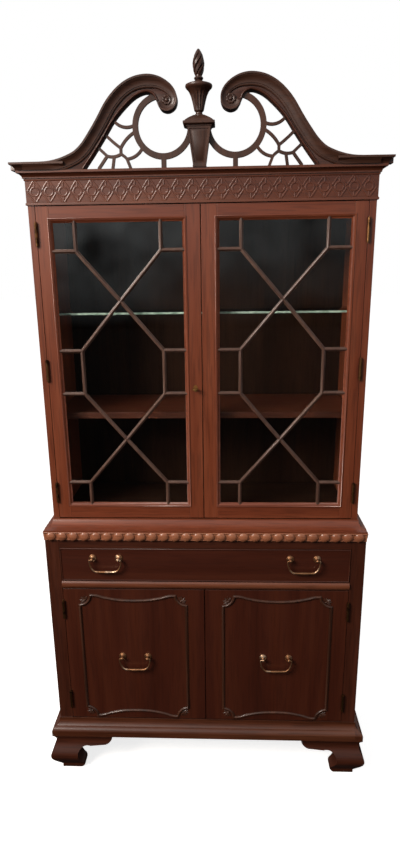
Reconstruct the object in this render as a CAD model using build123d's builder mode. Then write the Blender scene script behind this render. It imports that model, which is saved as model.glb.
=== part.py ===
"""China cabinet in two parts: a cupboard base with one drawer, a glazed upper case and a swan-neck pediment.

Frame: origin on the floor under the middle of the whole object, +Z up, +X to the right of a person who
faces the doors, -Y towards that person.  All sizes are in millimetres.
"""

import os

from build123d import *

os.makedirs("parts", exist_ok=True)

# ---------------------------------------------------------------- driving dimensions
back_y = 199.0                  # back of both cases
base_half_width = 480.0         # base case
base_front_y = -166.0           # face of the base case, its drawer and its doors
upper_half_width = 460.0        # upper case
upper_front_y = -121.0          # face of the upper case and its glazed doors

panel = 18.0                    # case sides, bottoms and shelves
frame_depth = 20.0              # face frame and doors, front to back
back_panel = 8.0
joint_line = 0.2                # hairline left where two boards meet in one frame
door_gap = 1.0                  # round each door and the drawer

foot_top = 141.0                # underside of the base moulding
case_bottom = 160.0
base_top_z = 835.0              # top of the base case's sides
deck_top = 861.0                # top of the base's top board, under the upper case
waist_top = 886.0
frieze_bottom = 1784.0
frieze_top = 1850.0
ledge_top = 1868.0              # flat ledge that the pediment stands on
cornice_top = 1886.0

stile_width = 42.0              # face frame of the base
floor_rail_top = 196.0
mid_rail = (672.0, 698.0)
top_rail_bottom = 808.0

# ---------------------------------------------------------------- places worked out from them
base_inner = base_half_width - panel
upper_inner = upper_half_width - panel
back_inner = back_y - back_panel
base_frame_back = base_front_y + frame_depth
upper_door_back = upper_front_y + frame_depth
opening_half = base_half_width - stile_width

# hinges: round knuckles that stand just in front of the gap beside each door
knuckle_radius = 4.0
pin_radius = 1.8
pin_clearance = 0.05
knuckle_half = 9.7
leaf_half = 30.0
leaf_thickness = 2.0
leaf_width = 17.0
pin_forward = 4.5               # hinge axis in front of the door's face
upper_hinge_x = upper_inner - door_gap / 2
base_hinge_x = opening_half - door_gap / 2
upper_hinge_heights = (970.0, 1340.0, 1710.0)
base_hinge_heights = (270.0, 600.0)


def save(piece: BuildPart, node: str) -> None:
    """Label a finished piece and write it as one STEP file."""
    piece.part.label = node
    export_step(piece.part, f"parts/{node}.step")


def block(x_range, y_range, z_range, mode=Mode.ADD) -> None:
    """Add to, or cut from, the piece being made a box between two corners."""
    low, high = zip(sorted(x_range), sorted(y_range), sorted(z_range))
    middle = tuple((a + b) / 2 for a, b in zip(low, high))
    with Locations(middle):
        Box(*(b - a for a, b in zip(low, high)), mode=mode)


def mirrored(piece: BuildPart, node: str) -> None:
    """Write the left-hand copy of a right-hand piece."""
    with BuildPart() as twin:
        mirror(piece.part, about=Plane.YZ)
    save(twin, node)


def draw_curve(pieces, place) -> None:
    """Draw a moulding's outline: two points make a straight, three points an arc."""
    for points in pieces:
        ends = [place(out, height) for out, height in points]
        if len(ends) == 2:
            Line(*ends)
        else:
            ThreePointArc(*ends)


def wrap_moulding(pieces, half_width, front_y, front_factor=1.0) -> None:
    """Add a moulding of the given outline along the front and both ends, mitred at the corners.

    The outline runs from bottom to top as (distance out from the case, height).
    """
    (first_out, bottom), (last_out, top) = pieces[0][0], pieces[-1][-1]
    with BuildSketch(Plane.YZ) as front_face:
        with BuildLine():
            draw_curve(pieces, lambda out, height: (front_y - out * front_factor, height))
            Polyline(
                (front_y - last_out * front_factor, top), (back_y, top),
                (back_y, bottom), (front_y - first_out * front_factor, bottom),
            )
        make_face()
    extrude(front_face.sketch, amount=2 * half_width, both=True)
    with BuildSketch(Plane.XZ) as end_face:
        with BuildLine():
            draw_curve(pieces, lambda out, height: (half_width + out, height))
            draw_curve(pieces, lambda out, height: (-half_width - out, height))
            Line((half_width + last_out, top), (-half_width - last_out, top))
            Line((half_width + first_out, bottom), (-half_width - first_out, bottom))
        make_face()
    extrude(end_face.sketch, amount=2 * back_y, both=True, mode=Mode.INTERSECT)


def cut_mitres(corner_x, corner_y, angle, z_range) -> None:
    """Cut the hairline of a mitre joint through both front corners of a moulding."""
    height = z_range[1] - z_range[0] + 2
    for side in (-1, 1):
        place = Location((side * corner_x, corner_y, sum(z_range) / 2), (0, 0, -side * angle))
        with Locations(place):
            Box(400, joint_line, height, mode=Mode.SUBTRACT)


# ================================================================ base case
with BuildPart() as base_right_side:
    block((base_inner, base_half_width), (base_frame_back, back_y), (case_bottom, base_top_z))
save(base_right_side, "base_right_side")
mirrored(base_right_side, "base_left_side")


def leaf_pocket(hinge_x, face_y, heights, into) -> None:
    """Cut the shallow pockets that hinge leaves lie in, on the frame's side (+1) or the door's side (-1)."""
    near = hinge_x + into * door_gap / 2
    for height in heights:
        block(
            (near, near + into * leaf_thickness), (face_y, face_y + leaf_width),
            (height - leaf_half, height + leaf_half), mode=Mode.SUBTRACT,
        )


with BuildPart() as base_face_frame:
    block((opening_half, base_half_width), (base_front_y, base_frame_back), (case_bottom, base_top_z))
    leaf_pocket(base_hinge_x, base_front_y, base_hinge_heights, into=1)
    mirror(about=Plane.YZ)
    rail_half = opening_half - joint_line
    for rail in ((case_bottom, floor_rail_top), mid_rail, (top_rail_bottom, base_top_z)):
        block((-rail_half, rail_half), (base_front_y, base_frame_back), rail)
save(base_face_frame, "base_face_frame")

with BuildPart() as base_bottom:
    block((-base_inner, base_inner), (base_frame_back, back_inner), (floor_rail_top - panel, floor_rail_top))
save(base_bottom, "base_bottom")

with BuildPart() as base_back:
    block((-base_inner, base_inner), (back_inner, back_y), (case_bottom, base_top_z))
save(base_back, "base_back")

dust_board_thickness = 12.0
with BuildPart() as dust_board:
    block(
        (-base_inner, base_inner), (base_frame_back, back_inner),
        (mid_rail[1] - dust_board_thickness, mid_rail[1]),
    )
save(dust_board, "dust_board")

guide_height = 14.0
with BuildPart() as drawer_guides:
    block(
        (opening_half + door_gap / 2, base_inner), (base_frame_back, back_inner),
        (mid_rail[1], mid_rail[1] + guide_height),
    )
    mirror(about=Plane.YZ)
save(drawer_guides, "drawer_guides")

shelf_clearance = 2.0
cupboard_shelf_z = 430.0
cupboard_shelf_front = -110.0
with BuildPart() as cupboard_shelf:
    shelf_half = base_inner - shelf_clearance
    block(
        (-shelf_half, shelf_half), (cupboard_shelf_front, back_inner - shelf_clearance),
        (cupboard_shelf_z, cupboard_shelf_z + panel),
    )
save(cupboard_shelf, "cupboard_shelf")

deck_half = 476.0
with BuildPart() as base_top:
    block((-deck_half, deck_half), (base_front_y, back_y), (base_top_z, deck_top))
save(base_top, "base_top")

# ---------------------------------------------------------------- base mouldings
gadroon_out = 12.0
with BuildPart() as gadroon_moulding:
    wrap_moulding(
        [
            [(0, base_top_z), (4, base_top_z)],
            [(4, base_top_z), (gadroon_out, 847), (6, deck_top)],
            [(6, deck_top), (0, deck_top)],
        ],
        deck_half, base_front_y,
    )
    block((-deck_half, deck_half), (base_front_y, back_y), (base_top_z, deck_top), mode=Mode.SUBTRACT)
    cut_mitres(deck_half, base_front_y, 45, (base_top_z, deck_top))
save(gadroon_moulding, "gadroon_moulding")

waist_side_out = 22.0
waist_front_out = 50.0
with BuildPart() as waist_moulding:
    wrap_moulding(
        [
            [(0, deck_top), (waist_side_out, deck_top)],
            [(waist_side_out, deck_top), (waist_side_out, deck_top + 4)],
            [(waist_side_out, deck_top + 4), (8, 869), (2, waist_top - 3)],
            [(2, waist_top - 3), (2, waist_top)],
            [(2, waist_top), (0, waist_top)],
        ],
        upper_half_width, upper_front_y, front_factor=waist_front_out / waist_side_out,
    )
    block(
        (-upper_half_width, upper_half_width), (upper_front_y, back_y), (deck_top, waist_top),
        mode=Mode.SUBTRACT,
    )
    cut_mitres(upper_half_width, upper_front_y, 66.25, (deck_top, waist_top))
save(waist_moulding, "waist_moulding")

plinth_out = 25.0
base_moulding_top = 196.0       # below the cupboard doors, so that they swing clear
ledge = 25.0                    # width of the ledge that the case stands on
with BuildPart() as base_moulding:
    wrap_moulding(
        [
            [(0, foot_top), (plinth_out, foot_top)],
            [(plinth_out, foot_top), (plinth_out, 160)],
            [(plinth_out, 160), (20, 168), (11, 172)],
            [(11, 172), (5, 180), (3, base_moulding_top)],
            [(3, base_moulding_top), (0, base_moulding_top)],
        ],
        base_half_width, base_front_y,
    )
    block(
        (-base_half_width, base_half_width), (base_front_y, back_y), (case_bottom, base_moulding_top),
        mode=Mode.SUBTRACT,
    )
    block(
        (ledge - base_half_width, base_half_width - ledge), (base_front_y + ledge, back_y),
        (foot_top, case_bottom), mode=Mode.SUBTRACT,
    )
    cut_mitres(base_half_width, base_front_y, 45, (foot_top, base_moulding_top))
save(base_moulding, "base_moulding")

# ---------------------------------------------------------------- ogee bracket feet
foot_bulge = 33.0               # furthest out from the case's face
front_wing = 205.0              # from the bulge to the end of the bracket
side_wing = 160.0
foot_depth = foot_bulge + ledge
ogee_points = [(plinth_out, foot_top), (17, 104), (foot_bulge, 69), (17, 31), (4, 12)]


def draw_ogee(place, inner) -> None:
    """Draw the foot's cross-section, from the ogee face to the given inner point's line."""
    with BuildLine() as section:
        curve = Spline(*(place(*point) for point in ogee_points))
        toe = place(ogee_points[-1][0], 0)
        Line(curve @ 1, toe)
        Polyline(toe, (inner, 0), (inner, foot_top), curve @ 0)
    make_face(section.edges())


def draw_bracket(place, wing) -> None:
    """Draw the foot's face: a toe, a neck and a shaped bracket; distances run in from the bulge."""
    with BuildLine() as face:
        Polyline(place(93, 0), place(0, 0), place(0, foot_top), place(wing, foot_top))
        Line(place(wing, foot_top), place(wing - 2, 128))
        ThreePointArc(place(wing - 2, 128), place(wing - 12, 110), place(wing - 25, 103))
        Line(place(wing - 25, 103), place(130, 99))
        ThreePointArc(place(130, 99), place(98, 91), place(89, 70))
        ThreePointArc(place(89, 70), place(93, 50), place(104, 34))
        ThreePointArc(place(104, 34), place(105, 14), place(93, 0))
    make_face(face.edges())


foot_right_x = base_half_width + foot_bulge
foot_front_y = base_front_y - foot_bulge
with BuildPart() as front_right_foot:
    with BuildSketch(Plane.XZ.offset(-foot_front_y)):
        draw_bracket(lambda along, height: (foot_right_x - along, height), front_wing)
    extrude(amount=-foot_depth)
    with BuildSketch(Plane.YZ.offset(foot_right_x)):
        draw_bracket(lambda along, height: (foot_front_y + along, height), side_wing)
    extrude(amount=-foot_depth)
    with BuildSketch(Plane.YZ):
        draw_ogee(lambda out, height: (base_front_y - out, height), inner=back_y)
    extrude(amount=foot_right_x, mode=Mode.INTERSECT)
    with BuildSketch(Plane.XZ.offset(-back_y)):
        draw_ogee(lambda out, height: (base_half_width + out, height), inner=0)
    extrude(amount=2 * back_y, mode=Mode.INTERSECT)
save(front_right_foot, "front_right_foot")
mirrored(front_right_foot, "front_left_foot")

rear_bracket_thickness = 18.0
with BuildPart() as rear_feet:
    with BuildSketch(Plane.YZ.offset(foot_right_x)):
        draw_bracket(lambda along, height: (back_y - along, height), side_wing)
    extrude(amount=-foot_depth)
    with BuildSketch(Plane.XZ.offset(-back_y)):
        draw_ogee(lambda out, height: (base_half_width + out, height), inner=0)
    extrude(amount=2 * back_y, mode=Mode.INTERSECT)
    with BuildSketch(Plane.XZ.offset(-back_y)):
        with BuildLine():
            Polyline(
                (base_half_width - ledge, 0), (base_half_width - ledge, foot_top), (350, foot_top),
                (420, 60), (430, 0), close=True,
            )
        make_face()
    extrude(amount=rear_bracket_thickness)
    mirror(about=Plane.YZ)
save(rear_feet, "rear_feet")

# ================================================================ upper case
with BuildPart() as upper_right_side:
    block((upper_inner, upper_half_width), (upper_front_y, back_y), (deck_top, frieze_top))
    leaf_pocket(upper_hinge_x, upper_front_y, upper_hinge_heights, into=1)
save(upper_right_side, "upper_right_side")
mirrored(upper_right_side, "upper_left_side")

with BuildPart() as upper_bottom:
    block((-upper_inner, upper_inner), (upper_front_y, back_inner), (deck_top, waist_top))
save(upper_bottom, "upper_bottom")

with BuildPart() as upper_top:
    block((-upper_inner, upper_inner), (upper_front_y, back_inner), (frieze_top - panel, frieze_top))
save(upper_top, "upper_top")

with BuildPart() as upper_back:
    block((-upper_inner, upper_inner), (back_inner, back_y), (deck_top, frieze_top))
save(upper_back, "upper_back")

with BuildPart() as top_rail:
    block(
        (-upper_inner, upper_inner), (upper_front_y, upper_door_back), (frieze_bottom, frieze_top - panel),
    )
save(top_rail, "top_rail")

frieze_out = 4.0
with BuildPart() as frieze:
    frieze_half = upper_half_width + frieze_out
    block(
        (-frieze_half, frieze_half), (upper_front_y - frieze_out, upper_front_y), (frieze_bottom, frieze_top),
    )
    for side in (-1, 1):
        block(
            (side * upper_half_width, side * frieze_half), (upper_front_y + joint_line, back_y),
            (frieze_bottom, frieze_top),
        )
save(frieze, "frieze")

# ---------------------------------------------------------------- shelves and their pins
shelf_front_y = -71.0
wood_shelf_z = 1187.0
glass_shelf_z = 1492.0
glass_shelf_thickness = 6.0
upper_shelf_half = upper_inner - shelf_clearance
upper_shelf_depth = (shelf_front_y, back_inner - shelf_clearance)
with BuildPart() as wood_shelf:
    block((-upper_shelf_half, upper_shelf_half), upper_shelf_depth, (wood_shelf_z, wood_shelf_z + panel))
save(wood_shelf, "wood_shelf")

with BuildPart() as glass_shelf:
    block(
        (-upper_shelf_half, upper_shelf_half), upper_shelf_depth,
        (glass_shelf_z, glass_shelf_z + glass_shelf_thickness),
    )
    fillet(glass_shelf.edges().filter_by(Axis.X), radius=2)
save(glass_shelf, "glass_shelf")

shelf_pin_radius = 3.0
shelf_pin_length = 11.0
with BuildPart() as shelf_pins:
    for wall_x, height in (
        (upper_inner, wood_shelf_z), (upper_inner, glass_shelf_z), (base_inner, cupboard_shelf_z),
    ):
        for side in (-1, 1):
            for depth in (-35.0, 150.0):
                middle = (side * (wall_x - shelf_pin_length / 2), depth, height - shelf_pin_radius)
                with Locations(Location(middle, (0, 90, 0))):
                    Cylinder(shelf_pin_radius, shelf_pin_length)
save(shelf_pins, "shelf_pins")

# ================================================================ cornice and pediment
cornice_out = 28.0
cornice_inner = 25.0
pediment_front_y = upper_front_y - frieze_out - cornice_out
pediment_back_y = upper_front_y + 12
with BuildPart() as cornice:
    wrap_moulding(
        [
            [(-4, frieze_top), (3, frieze_top)],
            [(3, frieze_top), (3, 1853)],
            [(3, 1853), (8, 1859), (15, 1862)],
            [(15, 1862), (15, ledge_top - 2)],
            [(15, ledge_top - 2), (18, 1875), (cornice_out, 1881)],
            [(cornice_out, 1881), (cornice_out, cornice_top)],
            [(cornice_out, cornice_top), (-4, cornice_top)],
        ],
        upper_half_width + frieze_out, upper_front_y - frieze_out,
    )
    block(
        (cornice_inner - upper_half_width, upper_half_width - cornice_inner),
        (upper_front_y + cornice_inner, back_y), (frieze_top, cornice_top), mode=Mode.SUBTRACT,
    )
    block(
        (-base_half_width - cornice_out, base_half_width + cornice_out),
        (pediment_front_y - 1, pediment_back_y), (ledge_top, cornice_top), mode=Mode.SUBTRACT,
    )
    block(
        (cornice_inner - upper_half_width, upper_half_width - cornice_inner),
        (pediment_back_y - 1, upper_front_y + cornice_inner + 1), (ledge_top, cornice_top), mode=Mode.SUBTRACT,
    )
    cut_mitres(upper_half_width, upper_front_y, 45, (frieze_top, cornice_top))
save(cornice, "cornice")

plinth_bottom_half = 16.5
plinth_shaft_top = 1963.0
plinth_top_half = 30.0
plinth_y = -131.0               # middle of the plinth and the finial, front to back
plinth_front_ratio = 0.75       # depth of the plinth against its width
ring_x, ring_z = 92.0, 1966.0   # middle of the round opening beside the plinth
ring_inner, ring_outer = 63.0, 78.0
fret_bar = 7.5
fret_depth = 8.0

with BuildSketch(Plane.XZ) as neck_outline:
    with BuildLine():
        end_x = upper_half_width + frieze_out + cornice_out
        Polyline((300, ledge_top), (end_x, ledge_top), (end_x, cornice_top - 1), (385, cornice_top + 2))
        Spline(
            (385, cornice_top + 2), (331, 1904), (279, 1954), (236, 2018), (190, 2062), (129, 2080),
            tangents=[(-1, 0), (-1, 0)],
        )
        ThreePointArc((129, 2080), (75, 2062), (54, 2025))
        ThreePointArc((54, 2025), (77, 1998), (104, 2017))
        ThreePointArc((104, 2017), (113, 2035), (132, 2043))
        Spline((132, 2043), (186, 2013), (241, 1946), (300, ledge_top), tangents=[(1, 0), (1, -1)])
    make_face()

with BuildPart() as right_swan_neck:
    add(neck_outline.sketch)
    extrude(amount=pediment_back_y - pediment_front_y, dir=(0, 1, 0))
with BuildPart() as placed_neck:
    with Locations((0, pediment_front_y, 0)):
        add(right_swan_neck.part)
save(placed_neck, "right_swan_neck")
mirrored(placed_neck, "left_swan_neck")

with BuildSketch(Plane.XZ) as fret_outline:
    with Locations((ring_x, ring_z)):
        Circle(ring_outer)
        Circle(ring_inner, mode=Mode.SUBTRACT)
    with Locations((ring_x / 2, plinth_shaft_top - 2 + 60)):
        Rectangle(ring_x + 24, 120, mode=Mode.SUBTRACT)
    with BuildLine():
        ThreePointArc((222, 1989), (196, 1967), (166, 1969))
        ThreePointArc((246, 1955), (225, 1935), (202, 1917))
        ThreePointArc((166, 1953), (188, 1936), (202, 1917))
        Line((202, 1917), (202, 1903))
        ThreePointArc((202, 1903), (220, 1897), (238, 1899))
        Line((238, 1899), (269, 1927))
        Line((238, 1899), (262, ledge_top))
        ThreePointArc((202, 1903), (192, 1896), (187, 1891))
        ThreePointArc((187, 1891), (164, 1898), (147, 1915))
        Line((187, 1891), (178, ledge_top))
        Line((220, 1897), (225, ledge_top))
    trace(line_width=fret_bar)
    with Locations((ring_x, ledge_top + 11)):
        Rectangle(13, 26)
    add(neck_outline.sketch_local, mode=Mode.SUBTRACT)
    with BuildLine():
        Polyline(
            (0, ledge_top), (plinth_bottom_half, ledge_top), (plinth_top_half, plinth_shaft_top),
            (0, plinth_shaft_top), close=True,
        )
    make_face(mode=Mode.SUBTRACT)
    with Locations((200, ledge_top - 30)):
        Rectangle(400, 60, mode=Mode.SUBTRACT)

fret_front_y = plinth_y - fret_depth / 2
with BuildPart() as fret_blank:
    add(fret_outline.sketch)
    extrude(amount=fret_depth, dir=(0, 1, 0))
with BuildPart() as right_fret:
    with Locations((0, fret_front_y, 0)):
        add(fret_blank.part)
save(right_fret, "right_fret")
mirrored(right_fret, "left_fret")

plinth_cap_half = 40.0
plinth_cap_bottom = plinth_shaft_top
plinth_cap_top = 1974.0
finial_foot = 1988.0
with BuildPart() as pediment_plinth:
    for height, half in ((ledge_top, plinth_bottom_half), (plinth_shaft_top, plinth_top_half)):
        with BuildSketch(Plane.XY.offset(height)):
            with Locations((0, plinth_y)):
                Rectangle(2 * half, 2 * half * plinth_front_ratio)
    loft()
    with BuildSketch(Plane.XY.offset(plinth_cap_bottom)):
        with Locations((0, plinth_y)):
            Rectangle(2 * plinth_cap_half, 2 * plinth_cap_half * plinth_front_ratio)
    extrude(amount=plinth_cap_top - plinth_cap_bottom)
    for height, half in ((plinth_cap_top, plinth_cap_half - 4), (finial_foot, 14)):
        with BuildSketch(Plane.XY.offset(height)):
            with Locations((0, plinth_y)):
                Rectangle(2 * half, 2 * half * plinth_front_ratio)
    loft()
save(pediment_plinth, "pediment_plinth")

flame_tip = 2138.0
with BuildPart() as finial:
    with BuildSketch(Plane.XZ.offset(-plinth_y)):
        with BuildLine():
            Polyline((0, finial_foot), (10, finial_foot), (10, 1993))
            Spline((10, 1993), (17, 2022), (28, 2047), tangents=[(0.2, 1), (0.6, 1)])
            Polyline((28, 2047), (34, 2053), (34, 2057), (20, 2062), (8, 2066), (11.5, 2072), (8, 2078))
            Spline((8, 2078), (14.5, 2100), (11, 2120), (0, flame_tip), tangents=[(0.5, 1), (-0.5, 1)])
            Line((0, flame_tip), (0, finial_foot))
        make_face()
    revolve(axis=Axis((0, plinth_y, 0), (0, 0, 1)))
save(finial, "finial")

# ================================================================ hinges
with BuildPart() as hinge_frame_leaves:
    for hinge_x, face_y, heights in (
        (upper_hinge_x, upper_front_y, upper_hinge_heights),
        (base_hinge_x, base_front_y, base_hinge_heights),
    ):
        axis_y = face_y - pin_forward
        near = hinge_x + door_gap / 2
        for height in heights:
            block(
                (near, near + leaf_thickness), (face_y, face_y + leaf_width),
                (height - leaf_half, height + leaf_half),
            )
            for end in (-1, 1):
                z_range = (height + end * (knuckle_half + 0.3), height + end * leaf_half)
                block((near, near + leaf_thickness), (axis_y, face_y), z_range)
                with Locations((hinge_x, axis_y, sum(z_range) / 2)):
                    Cylinder(knuckle_radius, abs(z_range[1] - z_range[0]))
            with Locations((hinge_x, axis_y, height)):
                Cylinder(pin_radius, 2 * leaf_half + 6)
    mirror(about=Plane.YZ)
save(hinge_frame_leaves, "hinge_frame_leaves")


def door_leaves(hinge_x, face_y, heights) -> None:
    """Add the door's halves of its hinges: a leaf let into the door's edge, and the middle knuckle."""
    axis_y = face_y - pin_forward
    near = hinge_x - door_gap / 2
    for height in heights:
        block(
            (near - leaf_thickness, near), (face_y, face_y + leaf_width),
            (height - leaf_half, height + leaf_half),
        )
        knuckle = (height - knuckle_half, height + knuckle_half)
        block((near - leaf_thickness, near), (axis_y, face_y), knuckle)
        with Locations((hinge_x, axis_y, height)):
            Cylinder(knuckle_radius, 2 * knuckle_half)
            Cylinder(pin_radius + pin_clearance, 2 * knuckle_half, mode=Mode.SUBTRACT)


# ================================================================ glazed doors
glazed_top = frieze_bottom - 2
glazed_bottom = waist_top + 2
meeting_x = door_gap
sight_x = (43.0, 405.0)
sight_z = (929.0, 1746.0)
door_edge_x = upper_inner - door_gap
rebate = 4.0
pane_front_y = upper_front_y + 8
pane_thickness = 3.0
pane_clearance = 0.2

bar_width = 11.0
bar_front_y = upper_front_y + 1.5
bar_side_x = 116.0              # from the door's middle to its upright bars
bar_outer_z = 333.0             # from the door's middle to the short outer cross bars
bar_crossing_z = 199.0          # to the crossings of the diagonals
bar_inner_z = 62.0              # to the short inner cross bars
bar_middle_z = 1333.0           # height of the lattice's middle

# lock, in the left door's meeting stile; written here as distances for the left door (negative X)
lock_z = 1287.0
key_x = -20.0
key_hole_radius = 2.3
lock_case_x = (-34.0, -meeting_x)
lock_case_y = (upper_front_y + 12, upper_front_y + 19.5)
lock_case_half = 20.0
bolt_z = (lock_z + 6, lock_z + 14)
bolt_y = (upper_front_y + 13.8, upper_front_y + 17.8)
bolt_x = (-28.0, -1.5)
bolt_fit = 0.3


def door_frame() -> None:
    """Add the right-hand door's two stiles and two rails, with the rebate that holds the glass."""
    depth = (upper_front_y, upper_door_back)
    block((meeting_x, sight_x[0]), depth, (glazed_bottom, glazed_top))
    block((sight_x[1], door_edge_x), depth, (glazed_bottom, glazed_top))
    rail_x = (sight_x[0] + joint_line, sight_x[1] - joint_line)
    block(rail_x, depth, (glazed_bottom, sight_z[0]))
    block(rail_x, depth, (sight_z[1], glazed_top))
    block(
        (sight_x[0] - rebate, sight_x[1] + rebate), (pane_front_y, upper_door_back),
        (sight_z[0] - rebate, sight_z[1] + rebate), mode=Mode.SUBTRACT,
    )
    leaf_pocket(upper_hinge_x, upper_front_y, upper_hinge_heights, into=-1)


with BuildPart() as right_door_frame:
    door_frame()
    block(
        (meeting_x, meeting_x + 8), (bolt_y[0] - 1, bolt_y[1] + 1), (bolt_z[0] - 1, bolt_z[1] + 1),
        mode=Mode.SUBTRACT,
    )
save(right_door_frame, "right_door_frame")

with BuildPart() as left_door_frame:
    door_frame()
with BuildPart() as left_frame_with_lock:
    mirror(left_door_frame.part, about=Plane.YZ)
    block(
        lock_case_x, (lock_case_y[0], upper_door_back), (lock_z - lock_case_half, lock_z + lock_case_half),
        mode=Mode.SUBTRACT,
    )
    with Locations(Location((key_x, upper_front_y + 6, lock_z), (90, 0, 0))):
        Cylinder(key_hole_radius, 14, mode=Mode.SUBTRACT)
save(left_frame_with_lock, "left_door_frame")

with BuildPart() as right_pane:
    edge = rebate - pane_clearance
    block(
        (sight_x[0] - edge, sight_x[1] + edge), (pane_front_y, pane_front_y + pane_thickness),
        (sight_z[0] - edge, sight_z[1] + edge),
    )
save(right_pane, "right_pane")
mirrored(right_pane, "left_pane")

middle_x = sum(sight_x) / 2
middle_z = sum(sight_z) / 2
with BuildSketch(Plane.XZ.offset(-bar_front_y)) as bar_pattern:
    with BuildLine():
        for right in (-1, 1):
            for up in (-1, 1):
                upright = middle_x + right * bar_side_x
                outer_z, inner_z = bar_middle_z + up * bar_outer_z, bar_middle_z + up * bar_inner_z
                frame_x = sight_x[1] if right > 0 else sight_x[0]
                frame_z = sight_z[1] if up > 0 else sight_z[0]
                Line((upright, frame_z), (upright, outer_z))
                Line((frame_x, outer_z), (upright, outer_z))
                Line((upright, outer_z), (middle_x, bar_middle_z + up * bar_crossing_z))
                Line((middle_x, bar_middle_z + up * bar_crossing_z), (upright, inner_z))
                Line((upright, inner_z), (upright, bar_middle_z))
                Line((frame_x, inner_z), (upright, inner_z))
    trace(line_width=bar_width)
    with Locations((middle_x, middle_z)):
        Rectangle(sight_x[1] - sight_x[0], sight_z[1] - sight_z[0], mode=Mode.INTERSECT)

with BuildPart() as right_glazing_bars:
    add(bar_pattern.sketch)
    extrude(amount=pane_front_y - bar_front_y, dir=(0, 1, 0))
save(right_glazing_bars, "right_glazing_bars")
mirrored(right_glazing_bars, "left_glazing_bars")

with BuildPart() as right_glass_door_hinges:
    door_leaves(upper_hinge_x, upper_front_y, upper_hinge_heights)
save(right_glass_door_hinges, "right_glass_door_hinges")
mirrored(right_glass_door_hinges, "left_glass_door_hinges")

# ---------------------------------------------------------------- lock, bolt and key
escutcheon_thickness = 1.2
case_wall = 1.5
with BuildPart() as door_lock:
    block(lock_case_x, lock_case_y, (lock_z - lock_case_half, lock_z + lock_case_half))
    block(
        (lock_case_x[0] + case_wall, lock_case_x[1] - case_wall),
        (lock_case_y[0] + case_wall, lock_case_y[1] - case_wall),
        (lock_z - lock_case_half + case_wall, lock_z + lock_case_half - case_wall), mode=Mode.SUBTRACT,
    )
    block(
        (bolt_x[0], lock_case_x[1]), (bolt_y[0] - bolt_fit, bolt_y[1] + bolt_fit),
        (bolt_z[0] - bolt_fit, bolt_z[1] + bolt_fit), mode=Mode.SUBTRACT,
    )
    with Locations(Location((key_x, lock_case_y[0], lock_z), (90, 0, 0))):
        Cylinder(key_hole_radius, 2 * case_wall + 1, mode=Mode.SUBTRACT)
    with BuildSketch(Plane.XZ.offset(-upper_front_y)):
        with Locations((key_x, lock_z)):
            Ellipse(6.5, 9.5)
            Circle(key_hole_radius, mode=Mode.SUBTRACT)
    extrude(amount=escutcheon_thickness)
save(door_lock, "door_lock")

with BuildPart() as lock_bolt:
    block(bolt_x, bolt_y, bolt_z)
    fillet(lock_bolt.edges().filter_by(Axis.Y).group_by(Axis.X)[-1], radius=1)
save(lock_bolt, "lock_bolt")

key_radius = 1.9
bow_y = upper_front_y - 16
key_end_y = lock_case_y[1] - case_wall - 0.6
with BuildPart() as key:
    shaft = (bow_y + 4, key_end_y)
    with Locations(Location((key_x, sum(shaft) / 2, lock_z), (90, 0, 0))):
        Cylinder(key_radius, shaft[1] - shaft[0])
    with Locations(Location((key_x, upper_front_y - 6, lock_z), (90, 0, 0))):
        Cylinder(3.2, 2.5)
    with BuildSketch(Plane.XY.offset(lock_z - 1.4)):
        with Locations((key_x, bow_y)):
            Ellipse(9, 6.5)
            Ellipse(5.8, 3.4, mode=Mode.SUBTRACT)
    extrude(amount=2.8)
    block((key_x - 0.8, key_x + 0.8), (key_end_y - 3.4, key_end_y), (lock_z - 8.5, lock_z - 1))
save(key, "key")

# ================================================================ handles
post_half = 40.0                # from the handle's middle to each post
pivot_forward = 14.0            # bail's pivot in front of the door's face
rosette_radius = 11.5
rosette_thickness = 2.5
eye_radius = 5.2
bail_rod = 2.3
bail_fit = 0.06
bail_drop = 40.0
pivot_y = base_front_y - pivot_forward


def handle_posts(middle_x, height) -> None:
    """Add a handle's two posts, each a round back plate, a stem and a drilled eye."""
    for side in (-1, 1):
        post_x = middle_x + side * post_half
        with Locations(Location((post_x, base_front_y - rosette_thickness / 2, height), (90, 0, 0))):
            Cylinder(rosette_radius, rosette_thickness)
        stem = (pivot_y, base_front_y)
        with Locations(Location((post_x, sum(stem) / 2, height), (90, 0, 0))):
            Cylinder(3.4, stem[1] - stem[0])
        with Locations(Location((post_x, pivot_y, height), (0, 0, -60))):
            Sphere(eye_radius)
        with Locations(Location((post_x, pivot_y, height), (0, 90, 0))):
            Cylinder(bail_rod + bail_fit, 2 * eye_radius + 2, mode=Mode.SUBTRACT)


def hanging_bail(middle_x, height) -> None:
    """Add a swan-neck bail whose turned-in ends lie in the eyes of its two posts."""
    outer = post_half + 8.5
    half = [(post_half - 4, 0), (outer, 0), (outer - 2, -20), (31, -bail_drop)]
    points = [(middle_x - x, height + z) for x, z in half]
    points += [(middle_x + x, height + z) for x, z in reversed(half)]
    with BuildLine(Plane.XZ.offset(-pivot_y)) as route:
        FilletPolyline(*points, radius=[4, 12, 12, 12, 12, 4])
    with BuildSketch(Plane(origin=route.line @ 0, z_dir=route.line % 0)) as rod:
        Circle(bail_rod)
    sweep(rod.sketch, path=route.line)


# ================================================================ cupboard doors
cupboard_top = mid_rail[0] - 2
cupboard_bottom = floor_rail_top + 2
cupboard_edge_x = opening_half - door_gap
cupboard_middle_x = 222.0
door_handle_z = 432.0
with BuildPart() as right_cupboard_door:
    block(
        (meeting_x, cupboard_edge_x), (base_front_y, base_frame_back), (cupboard_bottom, cupboard_top),
    )
    leaf_pocket(base_hinge_x, base_front_y, base_hinge_heights, into=-1)
save(right_cupboard_door, "right_cupboard_door")
mirrored(right_cupboard_door, "left_cupboard_door")

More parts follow.
